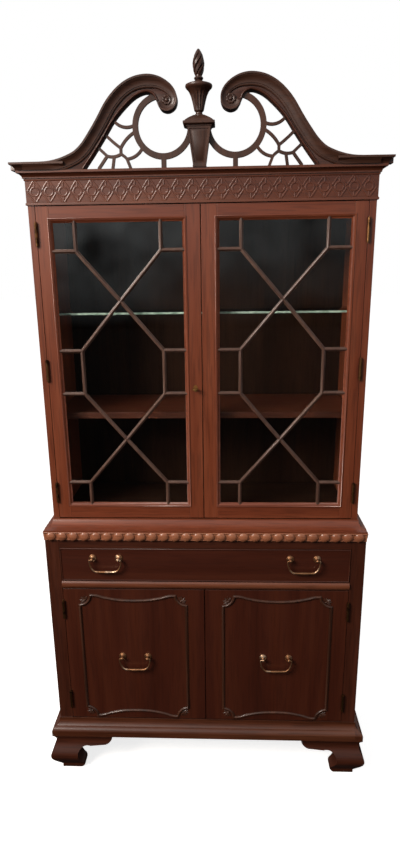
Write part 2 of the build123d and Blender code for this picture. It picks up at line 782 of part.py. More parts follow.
applied_half = 165.0            # applied moulding, from the door's middle to its side runs
applied_width = 9.0
applied_depth = 5.0
shoulder_top, waist_dip = 648.0, 630.0
shoulder_bottom, foot_rise = 207.0, 228.0
notch = 34.0                    # scooped corners
with BuildPart() as right_door_moulding:
    with BuildSketch(Plane.XZ.offset(-base_front_y)):
        with BuildLine():
            for side in (-1, 1):
                outer = cupboard_middle_x + side * applied_half
                inner = outer - side * notch
                flat = cupboard_middle_x + side * 85
                upper, lower = shoulder_top - notch, shoulder_bottom + notch
                Line((outer, lower), (outer, upper))
                for shoulder, turn, centre_z in (
                    (shoulder_top, upper, waist_dip), (shoulder_bottom, lower, foot_rise),
                ):
                    bend = 0.29 * (shoulder - turn)
                    ThreePointArc((outer, turn), (inner + side * 10, shoulder - 2.4 * bend), (inner, shoulder))
                    Spline(
                        (inner, shoulder), (flat, (shoulder + centre_z) / 2), (cupboard_middle_x, centre_z),
                        tangents=[(-side, 0), (-side, 0)],
                    )
        trace(line_width=applied_width)
    extrude(amount=applied_depth)
save(right_door_moulding, "right_door_moulding")
mirrored(right_door_moulding, "left_door_moulding")

with BuildPart() as right_cupboard_hinges:
    door_leaves(base_hinge_x, base_front_y, base_hinge_heights)
save(right_cupboard_hinges, "right_cupboard_hinges")
mirrored(right_cupboard_hinges, "left_cupboard_hinges")

with BuildPart() as right_handle_posts:
    handle_posts(cupboard_middle_x, door_handle_z)
save(right_handle_posts, "right_handle_posts")
mirrored(right_handle_posts, "left_handle_posts")

with BuildPart() as right_door_bail:
    hanging_bail(cupboard_middle_x, door_handle_z)
save(right_door_bail, "right_door_bail")
mirrored(right_door_bail, "left_door_bail")

# ================================================================ drawer
drawer_z = (mid_rail[1] + door_gap, top_rail_bottom - door_gap)
drawer_half = opening_half - door_gap
drawer_back_y = 160.0
drawer_side_thickness = 12.0
drawer_side_top = 795.0
drawer_bottom_z = 707.0
drawer_bottom_thickness = 5.0
drawer_handle_x = 298.0
drawer_handle_z = 775.0
drawer_inner = drawer_half - drawer_side_thickness

with BuildPart() as drawer_front:
    block((-drawer_half, drawer_half), (base_front_y, base_frame_back), drawer_z)
save(drawer_front, "drawer_front")

with BuildPart() as drawer_sides:
    side_z = (drawer_z[0], drawer_side_top)
    block((drawer_inner, drawer_half), (base_frame_back, drawer_back_y), side_z)
    mirror(about=Plane.YZ)
    back_half = drawer_inner - joint_line
    block((-back_half, back_half), (drawer_back_y - drawer_side_thickness, drawer_back_y), side_z)
save(drawer_sides, "drawer_sides")

with BuildPart() as drawer_bottom:
    block(
        (-drawer_inner, drawer_inner), (base_frame_back, drawer_back_y - drawer_side_thickness),
        (drawer_bottom_z, drawer_bottom_z + drawer_bottom_thickness),
    )
save(drawer_bottom, "drawer_bottom")

with BuildPart() as drawer_handle_posts:
    handle_posts(drawer_handle_x, drawer_handle_z)
    handle_posts(-drawer_handle_x, drawer_handle_z)
save(drawer_handle_posts, "drawer_handle_posts")

with BuildPart() as drawer_right_bail:
    hanging_bail(drawer_handle_x, drawer_handle_z)
save(drawer_right_bail, "drawer_right_bail")
mirrored(drawer_right_bail, "drawer_left_bail")
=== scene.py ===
"""Looks of a mahogany china cabinet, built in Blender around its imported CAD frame.

Every class below is one sub-assembly.  Its fields are sizes in millimetres in the frame's axes: X to the
right of a person who faces the doors, -Y towards that person, Z up from the floor.  Meshes are in metres.
"""

import logging
import math
from collections.abc import Callable, Iterator, Mapping, Sequence
from contextlib import contextmanager
from dataclasses import dataclass
from enum import Enum
from typing import Any, ClassVar

import bmesh
import bpy
from mathutils import Matrix, Vector


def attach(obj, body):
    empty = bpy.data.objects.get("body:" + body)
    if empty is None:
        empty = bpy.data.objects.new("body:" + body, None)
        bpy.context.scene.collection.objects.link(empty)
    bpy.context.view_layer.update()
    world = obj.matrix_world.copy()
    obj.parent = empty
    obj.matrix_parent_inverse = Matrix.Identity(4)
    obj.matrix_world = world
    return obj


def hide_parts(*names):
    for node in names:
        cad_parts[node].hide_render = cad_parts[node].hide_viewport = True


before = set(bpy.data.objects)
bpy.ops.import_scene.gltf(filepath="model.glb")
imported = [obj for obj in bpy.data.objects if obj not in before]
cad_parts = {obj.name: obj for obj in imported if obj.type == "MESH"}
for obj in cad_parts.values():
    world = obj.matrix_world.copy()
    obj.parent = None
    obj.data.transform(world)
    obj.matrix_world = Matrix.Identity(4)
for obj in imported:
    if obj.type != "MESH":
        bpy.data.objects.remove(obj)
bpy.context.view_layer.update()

MM = 0.001
BEYOND = 600.0          # further from the middle than any part of the cabinet
Point = tuple[float, float]
Piece = bpy.types.Object
log = logging.getLogger("china_cabinet")


# ---------------------------------------------------------------- the workbench
class Drawn(Enum):
    """The plane that a path or an outline is drawn on."""

    FRONT = "front"     # points are (X, Z), and height stands out towards the viewer
    PLAN = "plan"       # points are (X, Y), and height is Z


def only(piece: Piece) -> Piece:
    """Select this piece alone and make it the active one."""
    bpy.ops.object.select_all(action="DESELECT")
    piece.select_set(True)
    bpy.context.view_layer.objects.active = piece
    return piece


@contextmanager
def editing(piece: Piece) -> Iterator[None]:
    """Open a piece in edit mode with nothing selected, and close it again."""
    only(piece)
    bpy.ops.object.mode_set(mode="EDIT")
    bpy.ops.mesh.select_all(action="DESELECT")
    yield
    bpy.ops.object.mode_set(mode="OBJECT")


def pick_points(piece: Piece, test: Callable[[Vector], bool]) -> None:
    """Select, in the open piece, the points whose place in millimetres passes the test, and nothing else."""
    bpy.ops.mesh.select_all(action="DESELECT")
    mesh = bmesh.from_edit_mesh(piece.data)
    for vert in mesh.verts:
        if test(vert.co / MM):
            vert.select = True
    mesh.select_flush_mode()
    bmesh.update_edit_mesh(piece.data)


def pick_faces(piece: Piece, test: Callable[[Vector, Vector], bool]) -> None:
    """Select, in the open piece, the faces whose middle in millimetres and normal pass the test."""
    bpy.ops.mesh.select_all(action="DESELECT")
    mesh = bmesh.from_edit_mesh(piece.data)
    for face in mesh.faces:
        if test(face.calc_center_median() / MM, face.normal):
            face.select_set(True)
    bmesh.update_edit_mesh(piece.data)


def squeeze(piece: Piece, test: Callable[[Vector], bool], shares: Sequence[float]) -> None:
    """Resize, in the open piece, the points that pass the test, about the origin."""
    pick_points(piece, test)
    bpy.ops.transform.resize(value=shares, center_override=(0, 0, 0))


def saw_off(piece: Piece, place: Sequence[float], beyond: Sequence[float]) -> Piece:
    """Saw a piece through at a place in millimetres, drop what lies beyond, and close the cut."""
    with editing(piece):
        bpy.ops.mesh.select_all(action="SELECT")
        bpy.ops.mesh.bisect(plane_co=Vector(place) * MM, plane_no=beyond, clear_outer=True, use_fill=True)
    return close_up(piece)


def close_up(piece: Piece) -> Piece:
    """Merge doubled points and turn every face outwards."""
    with editing(piece):
        bpy.ops.mesh.select_all(action="SELECT")
        bpy.ops.mesh.remove_doubles(threshold=0.002 * MM)
        bpy.ops.mesh.normals_make_consistent(inside=False)
    return piece


def set_down(piece: Piece, at: Sequence[float] = (0, 0, 0), turn: Sequence[float] = (0, 0, 0)) -> Piece:
    """Turn a piece by degrees about the axes, move it by millimetres, and put that into its mesh."""
    only(piece)
    piece.rotation_euler = [math.radians(angle) for angle in turn]
    piece.location = Vector(at) * MM
    bpy.ops.object.transform_apply(location=True, rotation=True, scale=True)
    return piece


def named(piece: Piece, name: str, smooth_under: float = 40) -> Piece:
    """Name a piece and its mesh, and shade it smooth except over edges sharper than an angle in degrees."""
    piece.name = piece.data.name = name
    only(piece)
    bpy.ops.object.shade_smooth_by_angle(angle=math.radians(smooth_under))
    return piece


def copy_of(piece: Piece) -> Piece:
    """Copy a piece with a mesh of its own."""
    only(piece)
    bpy.ops.object.duplicate()
    return bpy.context.object


def mirrored(piece: Piece) -> Piece:
    """Copy a piece to the other side of the cabinet."""
    twin = copy_of(piece)
    twin.scale.x = -1
    set_down(twin)
    return close_up(twin)


def joined(pieces: Sequence[Piece]) -> Piece:
    """Join pieces into the first one."""
    bpy.ops.object.select_all(action="DESELECT")
    for piece in pieces:
        piece.select_set(True)
    bpy.context.view_layer.objects.active = pieces[0]
    bpy.ops.object.join()
    return pieces[0]


def use_modifier(piece: Piece, kind: str, **settings: Any) -> Piece:
    """Add a modifier with its settings and apply it."""
    only(piece)
    modifier = piece.modifiers.new(kind.lower(), kind)
    for key, value in settings.items():
        setattr(modifier, key, value)
    bpy.ops.object.modifier_apply(modifier=modifier.name)
    return piece


def row_of(piece: Piece, count: int, step: Sequence[float]) -> Piece:
    """Repeat a piece in a row, each copy a step in millimetres past the last."""
    return use_modifier(
        piece, "ARRAY", count=count, use_relative_offset=False, use_constant_offset=True,
        constant_offset_displace=Vector(step) * MM,
    )


def through(points: Sequence[Point], steps: int = 6) -> list[Point]:
    """Draw a smooth line through points.

    Args:
        points: the places that the line passes.
        steps: short straights between one place and the next.

    Returns:
        The points of the line, with both ends.
    """
    first, last = points[0], points[-1]
    spread = [
        (2 * first[0] - points[1][0], 2 * first[1] - points[1][1]), *points,
        (2 * last[0] - points[-2][0], 2 * last[1] - points[-2][1]),
    ]
    line: list[Point] = []
    for a, b, c, d in zip(spread, spread[1:], spread[2:], spread[3:]):
        for step in range(steps):
            t = step / steps
            line.append(tuple(
                0.5 * (2 * q + (r - p) * t + (2 * p - 5 * q + 4 * r - s) * t * t + (3 * q - p - 3 * r + s) * t**3)
                for p, q, r, s in zip(a, b, c, d)
            ))
    line.append(last)
    return line


def draw(points: Sequence[Point], closed: bool, widths: Sequence[float] | None = None) -> Piece:
    """Draw a flat line of straights as a curve object.

    Args:
        points: its corners in millimetres.
        closed: True if the last corner joins the first.
        widths: how wide a section swept along it is at each corner, against its own size.

    Returns:
        The curve object.
    """
    bpy.ops.object.select_all(action="DESELECT")
    bpy.ops.curve.primitive_bezier_curve_add(location=(0, 0, 0))
    piece = bpy.context.object
    curve = piece.data
    curve.dimensions = "2D"
    curve.fill_mode = "NONE"
    curve.splines.clear()
    spline = curve.splines.new("POLY")
    spline.points.add(len(points) - 1)
    for number, (point, (x, y)) in enumerate(zip(spline.points, points)):
        point.co = (x * MM, y * MM, 0, 1)
        point.radius = widths[number] if widths else 1.0
    spline.use_cyclic_u = closed
    return piece


def made_mesh(piece: Piece) -> Piece:
    """Turn a curve object into a mesh."""
    only(piece)
    bpy.ops.object.convert(target="MESH")
    return bpy.context.object


def put_on(piece: Piece, plane: Drawn, level: float) -> Piece:
    """Move a mesh drawn flat on the ground to its drawing plane at a level in millimetres."""
    if plane is Drawn.FRONT:
        return set_down(piece, (0, level, 0), (90, 0, 0))
    return set_down(piece, (0, 0, level))


def swept(
    path: Sequence[Point], section: Sequence[Point], plane: Drawn, level: float = 0.0,
    closed: bool = False, widths: Sequence[float] | None = None,
) -> Piece:
    """Run a moulding along a path, mitred at its corners.

    Args:
        path: corners of the path.
        section: the moulding's outline, as (distance to the right of the path, height above its plane).
        plane: the plane that the path is drawn on.
        level: where that plane is.
        closed: True if the path comes back to its start.
        widths: how large the section is at each corner, against its own size.

    Returns:
        The moulding as a closed mesh.
    """
    rail = draw(path, closed, widths)
    outline = draw(section, True)
    rail.data.bevel_mode = "OBJECT"
    rail.data.bevel_object = outline
    rail.data.use_fill_caps = not closed
    moulding = made_mesh(rail)
    bpy.data.objects.remove(outline)
    return close_up(put_on(moulding, plane, level))


def sawn(outline: Sequence[Point], plane: Drawn, level: float, thickness: float, edge: float) -> Piece:
    """Saw a board to an outline and round its edges.

    Args:
        outline: corners of the board.
        plane: the plane that the outline is drawn on.
        level: where the middle of the board's thickness is.
        thickness: of the board.
        edge: radius of its edges.

    Returns:
        The board as a closed mesh.
    """
    shape = draw(outline, True)
    shape.data.fill_mode = "BOTH"
    shape.data.extrude = (thickness / 2 - edge) * MM
    shape.data.bevel_depth = edge * MM
    shape.data.bevel_resolution = 1
    shape.data.offset = -edge * MM
    return close_up(put_on(made_mesh(shape), plane, level))


def turned(profile: Sequence[Point], steps: int) -> Piece:
    """Turn a shape on the lathe, upright on the origin.

    Args:
        profile: (radius, height) from one end of the axis to the other.
        steps: how many strips make the round.

    Returns:
        The shape as a closed mesh.
    """
    piece = put_on(made_mesh(draw(profile, False)), Drawn.FRONT, 0)
    with editing(piece):
        bpy.ops.mesh.select_all(action="SELECT")
        bpy.ops.mesh.spin(steps=steps, angle=math.tau, center=(0, 0, 0), axis=(0, 0, 1))
    return close_up(piece)


def fluted(piece: Piece, steps: int, every: int, low: float, high: float, depth: float) -> Piece:
    """Hollow flutes into a piece turned on the origin.

    Args:
        piece: made by turned.
        steps: its strips.
        every: one line of points in so many is pushed in.
        low: lowest height that is fluted.
        high: highest height that is fluted.
        depth: share of the radius that a flute is deep.

    Returns:
        The same piece.
    """
    strip = math.tau / steps

    def in_flute(place: Vector) -> bool:
        """Tell whether a point is on a line that is pushed in."""
        line = round(math.atan2(place.y, place.x) / strip)
        return low <= place.z <= high and line % every == 0

    with editing(piece):
        squeeze(piece, in_flute, (1 - depth, 1 - depth, 1))
    return piece


def stacked(levels: Sequence[Point], depth_share: float) -> Piece:
    """Build a square-sided column on the origin by extruding its top face up from level to level.

    Args:
        levels: (half its width, height) from the bottom up.
        depth_share: its depth against its width.

    Returns:
        The column as a closed mesh.
    """
    bpy.ops.object.select_all(action="DESELECT")
    (half, height), *rest = levels
    bpy.ops.mesh.primitive_plane_add(size=2 * half * MM, location=(0, 0, 0))
    piece = set_down(bpy.context.object, (0, 0, height))
    with editing(piece):
        bpy.ops.mesh.select_all(action="SELECT")
        for next_half, next_height in rest:
            rise = (next_height - height) * MM
            bpy.ops.mesh.extrude_region_move(TRANSFORM_OT_translate={"value": (0, 0, rise)})
            growth = next_half / half
            bpy.ops.transform.resize(value=(growth, growth, 1), center_override=(0, 0, 0))
            half, height = next_half, next_height
        bpy.ops.mesh.select_all(action="SELECT")
        bpy.ops.transform.resize(value=(1, depth_share, 1), center_override=(0, 0, 0))
    return close_up(piece)


def ball(half_sizes: Sequence[float], segments: int = 12, rings: int = 8) -> Piece:
    """Start an egg of the given half sizes in millimetres on the origin, to be shaped further."""
    bpy.ops.object.select_all(action="DESELECT")
    bpy.ops.mesh.primitive_uv_sphere_add(segments=segments, ring_count=rings, radius=1, location=(0, 0, 0))
    piece = bpy.context.object
    piece.scale = Vector(half_sizes) * MM
    return set_down(piece)


def round_section(radius: float, steps: int = 12) -> list[Point]:
    """Give the outline of a round rod."""
    turns = [math.tau * step / steps for step in range(steps)]
    return [(radius * math.cos(turn), radius * math.sin(turn)) for turn in turns]


# ---------------------------------------------------------------- finishes
def linear(hex_colour: str) -> tuple[float, float, float, float]:
    """Turn an sRGB hex colour into the linear colour that a shader takes."""
    shares = [int(hex_colour[i:i + 2], 16) / 255 for i in (1, 3, 5)]
    return (*(c / 12.92 if c <= 0.04045 else ((c + 0.055) / 1.055) ** 2.4 for c in shares), 1.0)


def add(tree: bpy.types.NodeTree, kind: str, feeds: Mapping[str | int, Any] | None = None, **settings: Any) -> Any:
    """Add a shader node.

    Args:
        tree: the material's node tree.
        kind: the node's type, without the common "ShaderNode".
        feeds: by socket, a value to set, or a node or socket to link.
        settings: the node's own properties.

    Returns:
        The node.
    """
    node = tree.nodes.new("ShaderNode" + kind)
    for key, value in settings.items():
        setattr(node, key, value)
    for key, value in (feeds or {}).items():
        if isinstance(value, bpy.types.Node):
            value = next(socket for socket in value.outputs if socket.enabled)
        if isinstance(value, bpy.types.NodeSocket):
            tree.links.new(value, node.inputs[key])
        else:
            node.inputs[key].default_value = value
    return node


def ramp(tree: bpy.types.NodeTree, feed: Any, stops: Sequence[tuple[float, Any]]) -> Any:
    """Add a colour ramp with stops of (place, linear colour or grey)."""
    node = add(tree, "ValToRGB", {"Fac": feed})
    elements = node.color_ramp.elements
    while len(elements) < len(stops):
        elements.new(0.5)
    for element, (place, colour) in zip(elements, stops):
        element.position = place
        element.color = colour if isinstance(colour, tuple) else (colour, colour, colour, 1)
    return node


def noise(tree: bpy.types.NodeTree, place: Any, size: float, detail: float, roughness: float = 0.5,
          distortion: float = 0.0) -> Any:
    """Add noise whose patches are about a size in millimetres across."""
    return add(tree, "TexNoise", {
        "Vector": place, "Scale": 500 / size, "Detail": detail, "Roughness": roughness, "Distortion": distortion,
    })


def blend(tree: bpy.types.NodeTree, share: Any, under: Any, over: Any, kind: str = "MIX") -> Any:
    """Lay one colour over another by a share, and give the socket of the result."""
    return add(tree, "Mix", {"Factor": share, 6: under, 7: over}, data_type="RGBA", blend_type=kind).outputs[2]


def surface(tree: bpy.types.NodeTree, out: Any, feeds: Mapping[str | int, Any]) -> None:
    """Close a material with the common surface shader."""
    tree.links.new(add(tree, "BsdfPrincipled", feeds).outputs["BSDF"], out.inputs["Surface"])


def fresh(name: str) -> tuple[bpy.types.Material, bpy.types.NodeTree, Any]:
    """Start a material.

    Returns:
        The material, its node tree and its output node.
    """
    material = bpy.data.materials.new(name)
    material.use_nodes = True
    tree = material.node_tree
    tree.nodes.clear()
    return material, tree, add(tree, "OutputMaterial")


class Grain(Enum):
    """Which way a board's grain runs, as how far the pattern is drawn out along X, Y and Z."""

    ACROSS = (0.05, 1.0, 1.0)
    DEEP = (1.0, 0.05, 1.0)
    UPRIGHT = (1.0, 1.0, 0.05)


@dataclass(frozen=True)
class GrainTurn:
    """Where the boards of one node change direction: between two distances from the cabinet's middle."""

    grain: Grain
    near: float
    far: float


@dataclass(frozen=True)
class Wood:
    """Planed and polished wood: flowing bands of tone, fine dark pores and a clear coat with soft gloss; painted
    shade darkens its recesses and a painted highlight lightens its edges.
    """

    name: str
    dark: str
    middle: str
    light: str
    crevice_dust_and_shade: str            # old wax and dust in the corners, and painted shade there
    band: float = 26.0      # width of the growth bands
    ribbon: float = 7.0     # width of the ribbon stripe
    pore: float = 2.2       # real pores are 0.3 mm wide: drawn coarser, so that they show
    waver: float = 0.5      # how much the bands wander
    contrast: float = 1.0
    roughness: float = 0.42
    coat: float = 0.55
    coat_roughness: float = 0.16
    pitting: float = 0.65   # how much the pores darken the wood
    sheen: float = 0.5      # how much the bare surface mirrors
    matched: bool = False   # veneer leaves opened like a book about the middle of the cabinet

    ribbon_share: ClassVar[float] = 0.35
    spread: ClassVar[float] = 0.17              # from the middle tone to the darkest, in the noise's own measure
    crevice_reach: ClassVar[float] = 0.014      # metres
    edge_wear_and_highlight_radius: ClassVar[float] = 0.0014       # metres
    pore_depth: ClassVar[float] = 0.00006       # metres

    def along_grain(self, tree: bpy.types.NodeTree, grain: Grain, turn: GrainTurn | None) -> Any:
        """Draw the place on the board out along its grain.

        Args:
            tree: the material's node tree.
            grain: which way the grain runs.
            turn: where it runs another way, if it does.

        Returns:
            The node with the drawn-out place.
        """
        place = add(tree, "TexCoord").outputs["Object"]
        axes = add(tree, "SeparateXYZ", {"Vector": place}).outputs
        from_middle = add(tree, "Math", {0: axes["X"]}, operation="ABSOLUTE")
        if self.matched:
            place = add(tree, "CombineXYZ", {"X": from_middle, "Y": axes["Y"], "Z": axes["Z"]})
        along = add(tree, "Mapping", {"Vector": place, "Scale": grain.value})
        if turn is None:
            return along
        past = add(tree, "Math", {0: from_middle, 1: turn.near * MM}, operation="GREATER_THAN")
        short = add(tree, "Math", {0: from_middle, 1: turn.far * MM}, operation="LESS_THAN")
        between = add(tree, "Math", {0: past, 1: short}, operation="MULTIPLY")
        other = add(tree, "Mapping", {"Vector": place, "Scale": turn.grain.value, "Location": (0.31, 0.17, 0.23)})
        return add(tree, "Mix", {"Factor": between, 4: along, 5: other}, data_type="VECTOR")

    def make(self, grain: Grain, turn: GrainTurn | None = None) -> bpy.types.Material:
        """Build the material for boards of one direction, or give the one already built.

        Args:
            grain: which way the grain runs.
            turn: where it runs another way, if it does.

        Returns:
            The material.
        """
        parts = [self.name, grain.name.lower()]
        if turn:
            parts += [turn.grain.name.lower(), f"{turn.near:.0f}", f"{turn.far:.0f}"]
        name = "_".join(parts)
        if name in bpy.data.materials:
            return bpy.data.materials[name]
        material, tree, out = fresh(name)
        along = self.along_grain(tree, grain, turn)
        bands = noise(tree, along, self.band, 3.0, distortion=self.waver)
        ribbons = noise(tree, along, self.ribbon, 2.0, roughness=0.6)
        pores = noise(tree, along, self.pore, 1.0)
        tone = add(tree, "Mix", {"Factor": self.ribbon_share, 2: bands, 3: ribbons}, data_type="FLOAT")
        spread = self.spread / self.contrast
        figure = ramp(tree, tone, [
            (0.5 - spread, linear(self.dark)), (0.5, linear(self.middle)), (0.5 + spread, linear(self.light)),
        ])
        pitted = ramp(tree, pores, [(0.36, 0.62), (0.5, 1.0)])
        colour = blend(tree, self.pitting, figure, pitted, "MULTIPLY")
        # painted shade: ambient occlusion finds recesses, and the colour darkens there towards the crevice colour,
        # for shade as well as old wax and dust
        depth = add(tree, "AmbientOcclusion", {"Distance": self.crevice_reach}, samples=6)
        shut_in = ramp(tree, depth.outputs["AO"], [(0.25, 0.85), (0.8, 0.0)])
        colour = blend(tree, shut_in, colour, linear(self.crevice_dust_and_shade))
        # painted highlight: edges found by the rounded normal lighten towards the light tone, for worn polish and
        # for the highlight that an edge catches
        rounded = add(tree, "Bevel", {"Radius": self.edge_wear_and_highlight_radius}, samples=4)
        flat = add(tree, "NewGeometry").outputs["Normal"]
        even = add(tree, "VectorMath", {0: rounded, 1: flat}, operation="DOT_PRODUCT")
        edge_wear_and_highlight = ramp(tree, even.outputs["Value"], [(0.86, 0.5), (0.985, 0.0)])
        colour = blend(tree, edge_wear_and_highlight, colour, linear(self.light))
        gloss = add(tree, "MapRange", {
            "Value": ribbons, "To Min": self.roughness - 0.07, "To Max": self.roughness + 0.09,
        })
        relief = add(tree, "Bump", {"Height": pitted, "Distance": self.pore_depth, "Strength": 0.5})
        surface(tree, out, {
            "Base Color": colour, "Roughness": gloss.outputs["Result"], "Normal": relief,
            "Coat Weight": self.coat, "Coat Roughness": self.coat_roughness, "IOR": 1.5, "Coat IOR": 1.5,
            "Specular IOR Level": self.sheen,
        })
        return material


@dataclass(frozen=True)
class Metal:
    """Cast and lacquered brass: warm metal, dull and brown where fingers don't rub it."""

    name: str
    bright: str
    tarnish: str
    cloud: float            # size of the tarnish's patches
    cover: float            # share of the surface that is dulled
    smooth: float           # roughness where it is bright
    rough: float            # roughness where it is dulled

    def make(self) -> bpy.types.Material:
        """Build the material, or give the one already built."""
        if self.name in bpy.data.materials:
            return bpy.data.materials[self.name]
        material, tree, out = fresh(self.name)
        place = add(tree, "TexCoord").outputs["Object"]
        cloud = noise(tree, place, self.cloud, 4.0)
        patches = ramp(tree, cloud, [(0.62 - self.cover * 0.4, 1.0), (0.78 - self.cover * 0.4, 0.0)])
        depth = add(tree, "AmbientOcclusion", {"Distance": 0.004}, samples=6)
        shut_in = ramp(tree, depth.outputs["AO"], [(0.35, 1.0), (0.85, 0.0)])
        dulled = add(tree, "Math", {0: patches, 1: shut_in}, operation="MAXIMUM")
        colour = blend(tree, dulled, linear(self.bright), linear(self.tarnish))
        gloss = add(tree, "MapRange", {"Value": dulled, "To Min": self.smooth, "To Max": self.rough})
        pitting = add(tree, "TexNoise", {"Vector": place, "Scale": 900.0, "Detail": 2.0})
        relief = add(tree, "Bump", {"Height": pitting, "Distance": 0.00004, "Strength": 0.4})
        surface(tree, out, {
            "Base Color": colour, "Metallic": 1.0, "Roughness": gloss.outputs["Result"], "Normal": relief,
        })
        return material


@dataclass(frozen=True)
class Glass:
    """Sheet glass: clear face on, greener where one looks along the sheet."""

    name: str
    clear: str
    green: str

    def make(self) -> bpy.types.Material:
        """Build the material, or give the one already built."""
        if self.name in bpy.data.materials:
            return bpy.data.materials[self.name]
        material, tree, out = fresh(self.name)
        along = add(tree, "LayerWeight", {"Blend": 0.35}).outputs["Facing"]
        colour = blend(tree, along, linear(self.clear), linear(self.green))
        surface(tree, out, {"Base Color": colour, "Roughness": 0.0, "IOR": 1.52, "Transmission Weight": 1.0})
        return material


# French-polished Cuban mahogany: red-brown, straight-grained, with a deep soft gloss
POLISHED = Wood("polished_mahogany", "#692d18", "#813f24", "#995335", "#2f130a", contrast=0.6)
# the same wood on the cornice and the frieze under it: a darker, duller red, painted shade for the less lit top of
# the case
SHADED = Wood("shaded_mahogany", "#502416", "#68341e", "#81482e", "#240e08", contrast=0.6)
# thin bars, paler and greyer than the frame: the grey is a painted highlight for the sheen on their rounded faces
BAR_WOOD = Wood("worn_mahogany_bars", "#4a3027", "#5f4337", "#765a4b", "#2a1710", band=20.0, contrast=0.6)
# the lower case, darker than the upper: deep brown, the red only in the light
STAINED = Wood("stained_mahogany", "#3c180c", "#4f2413", "#643220", "#1f0d07", contrast=0.6)
# the bead on the rail between drawer and doors: a lighter line across the lower case, a painted highlight for the
# light that the bead catches
RAIL_HIGHLIGHT = Wood("rail_mahogany", "#5d2d1d", "#774027", "#92583c", "#2a120a", contrast=0.6)
# the moulding over the feet: between the two, brighter than the case and darker than the rail
PLINTH_WOOD = Wood("plinth_mahogany", "#45200f", "#5a2d18", "#744229", "#220f08", contrast=0.6)
# gadroons, the brightest line of the lower case: a painted highlight for the light that their lobes catch
GADROON_HIGHLIGHT = Wood("rubbed_mahogany", "#8c4e34", "#ad6c4c", "#c98a66", "#55291a", contrast=0.6, roughness=0.38)
# the pediment's carved work, brown and rather dull: painted shade, since the pediment gets less light
SHADED_CARVING = Wood(
    "carved_mahogany", "#321a0f", "#482819", "#603a28", "#160a06", contrast=0.7, roughness=0.5, coat=0.4,
)
# the flat boards behind the carving: a little redder, since they were easier to polish; darkened like the carving
# as painted shade
SHADED_CARVING_GROUND = Wood(
    "carved_mahogany_ground", "#3a1d10", "#4e2717", "#633724", "#1a0c07", contrast=0.7, roughness=0.46, coat=0.45,
)
# crotch veneer, laid book-matched on doors and drawer: dark, with wide upright plumes
FIGURED = Wood(
    "figured_mahogany", "#3a160a", "#4a1e0f", "#5c2a15", "#1c0b07", band=70.0, ribbon=16.0, waver=1.6,
    contrast=0.6, roughness=0.42, coat=0.5, coat_roughness=0.14, matched=True, pitting=0.4,
)
# the strips applied on the veneer: the same stain, lighter on their edges, where the polish has worn and a
# highlight is painted
FIGURED_EDGE = Wood(
    "stained_mahogany_strip", "#34190d", "#492614", "#653b25", "#1a0a06", band=20.0, contrast=0.8, roughness=0.48,
    coat=0.4,
)
# poplar, stained, planed and left without lacquer: dry and yellowish brown
PLAIN_WOOD = Wood(
    "stained_poplar", "#5b3d28", "#755137", "#8c6747", "#2f1f15", band=34.0, contrast=0.8, roughness=0.62,
    coat=0.0,
)
# the display space's lining, almost black and dull: painted shade for the dim inside of the glazed case
INTERIOR_SHADE = Wood(
    "dark_stained_lining", "#1e120b", "#2a1911", "#382318", "#0d0705", band=40.0, contrast=0.6, roughness=0.8,
    coat=0.0, sheen=0.05,
)
# cast handles, lacquered and worn: pale warm metal, browner in the hollows
ANTIQUE_BRASS = Metal("antiqued_brass", "#f6d2b0", "#a87a58", 14.0, 0.3, 0.36, 0.5)
# the lock, its key and the shelf pins, turned and brushed: yellower and even
PLAIN_BRASS = Metal("satin_brass", "#ecc488", "#a47a48", 22.0, 0.3, 0.36, 0.5)
# hinges that were never polished again: brown, with bright metal only on the knuckles
AGED_BRASS = Metal("aged_brass", "#9c7048", "#3c281a", 12.0, 0.6, 0.34, 0.6)
# drawn window glass: clear, with the faint green of iron only along the sheet
WINDOW_GLASS = Glass("drawn_window_glass", "#eef2f0", "#a9c2b8")
# thicker polished plate, so greener
SHELF_GLASS = Glass("polished_shelf_glass", "#e6f1ec", "#8fb8a6")


@dataclass(frozen=True)
class SeamedEdge:
    """The ground front edge of a glass shelf: frosted and pale green, brightened in patches by a painted glow for
    the light that leaves the sheet there.
    """

    name: str = "seamed_glass_edge"
    dull: str = "#7d9486"
    bright: str = "#bfd2c4"

    def make(self) -> bpy.types.Material:
        """Build the material."""
        material, tree, out = fresh(self.name)
        place = add(tree, "TexCoord").outputs["Object"]
        grinding = add(tree, "TexNoise", {"Vector": place, "Scale": 60.0, "Detail": 3.0})
        colour = ramp(tree, grinding, [(0.35, linear(self.dull)), (0.65, linear(self.bright))])
        surface(tree, out, {"Base Color": colour, "Roughness": 0.35, "IOR": 1.52})
        return material


def dressed(piece: Piece, name: str, material: bpy.types.Material, body: str, slot: str, *nodes: str) -> Piece:
    """Finish a new piece: name, material, the body it moves with and what it stands for.

    Args:
        piece: the finished mesh.
        name: its name.
        material: its finish.
        body: the CAD body that it rides on.
        slot: the record's material slot; not used.
        nodes: the CAD nodes that it stands for.

    Returns:
        The same piece.
    """
    named(piece, name)
    piece.data.materials.clear()
    piece.data.materials.append(material)
    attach(piece, body)
    if nodes:
        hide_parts(*nodes)
    log.info("made %s, %d faces, on %s", name, len(piece.data.polygons), body)
    return piece


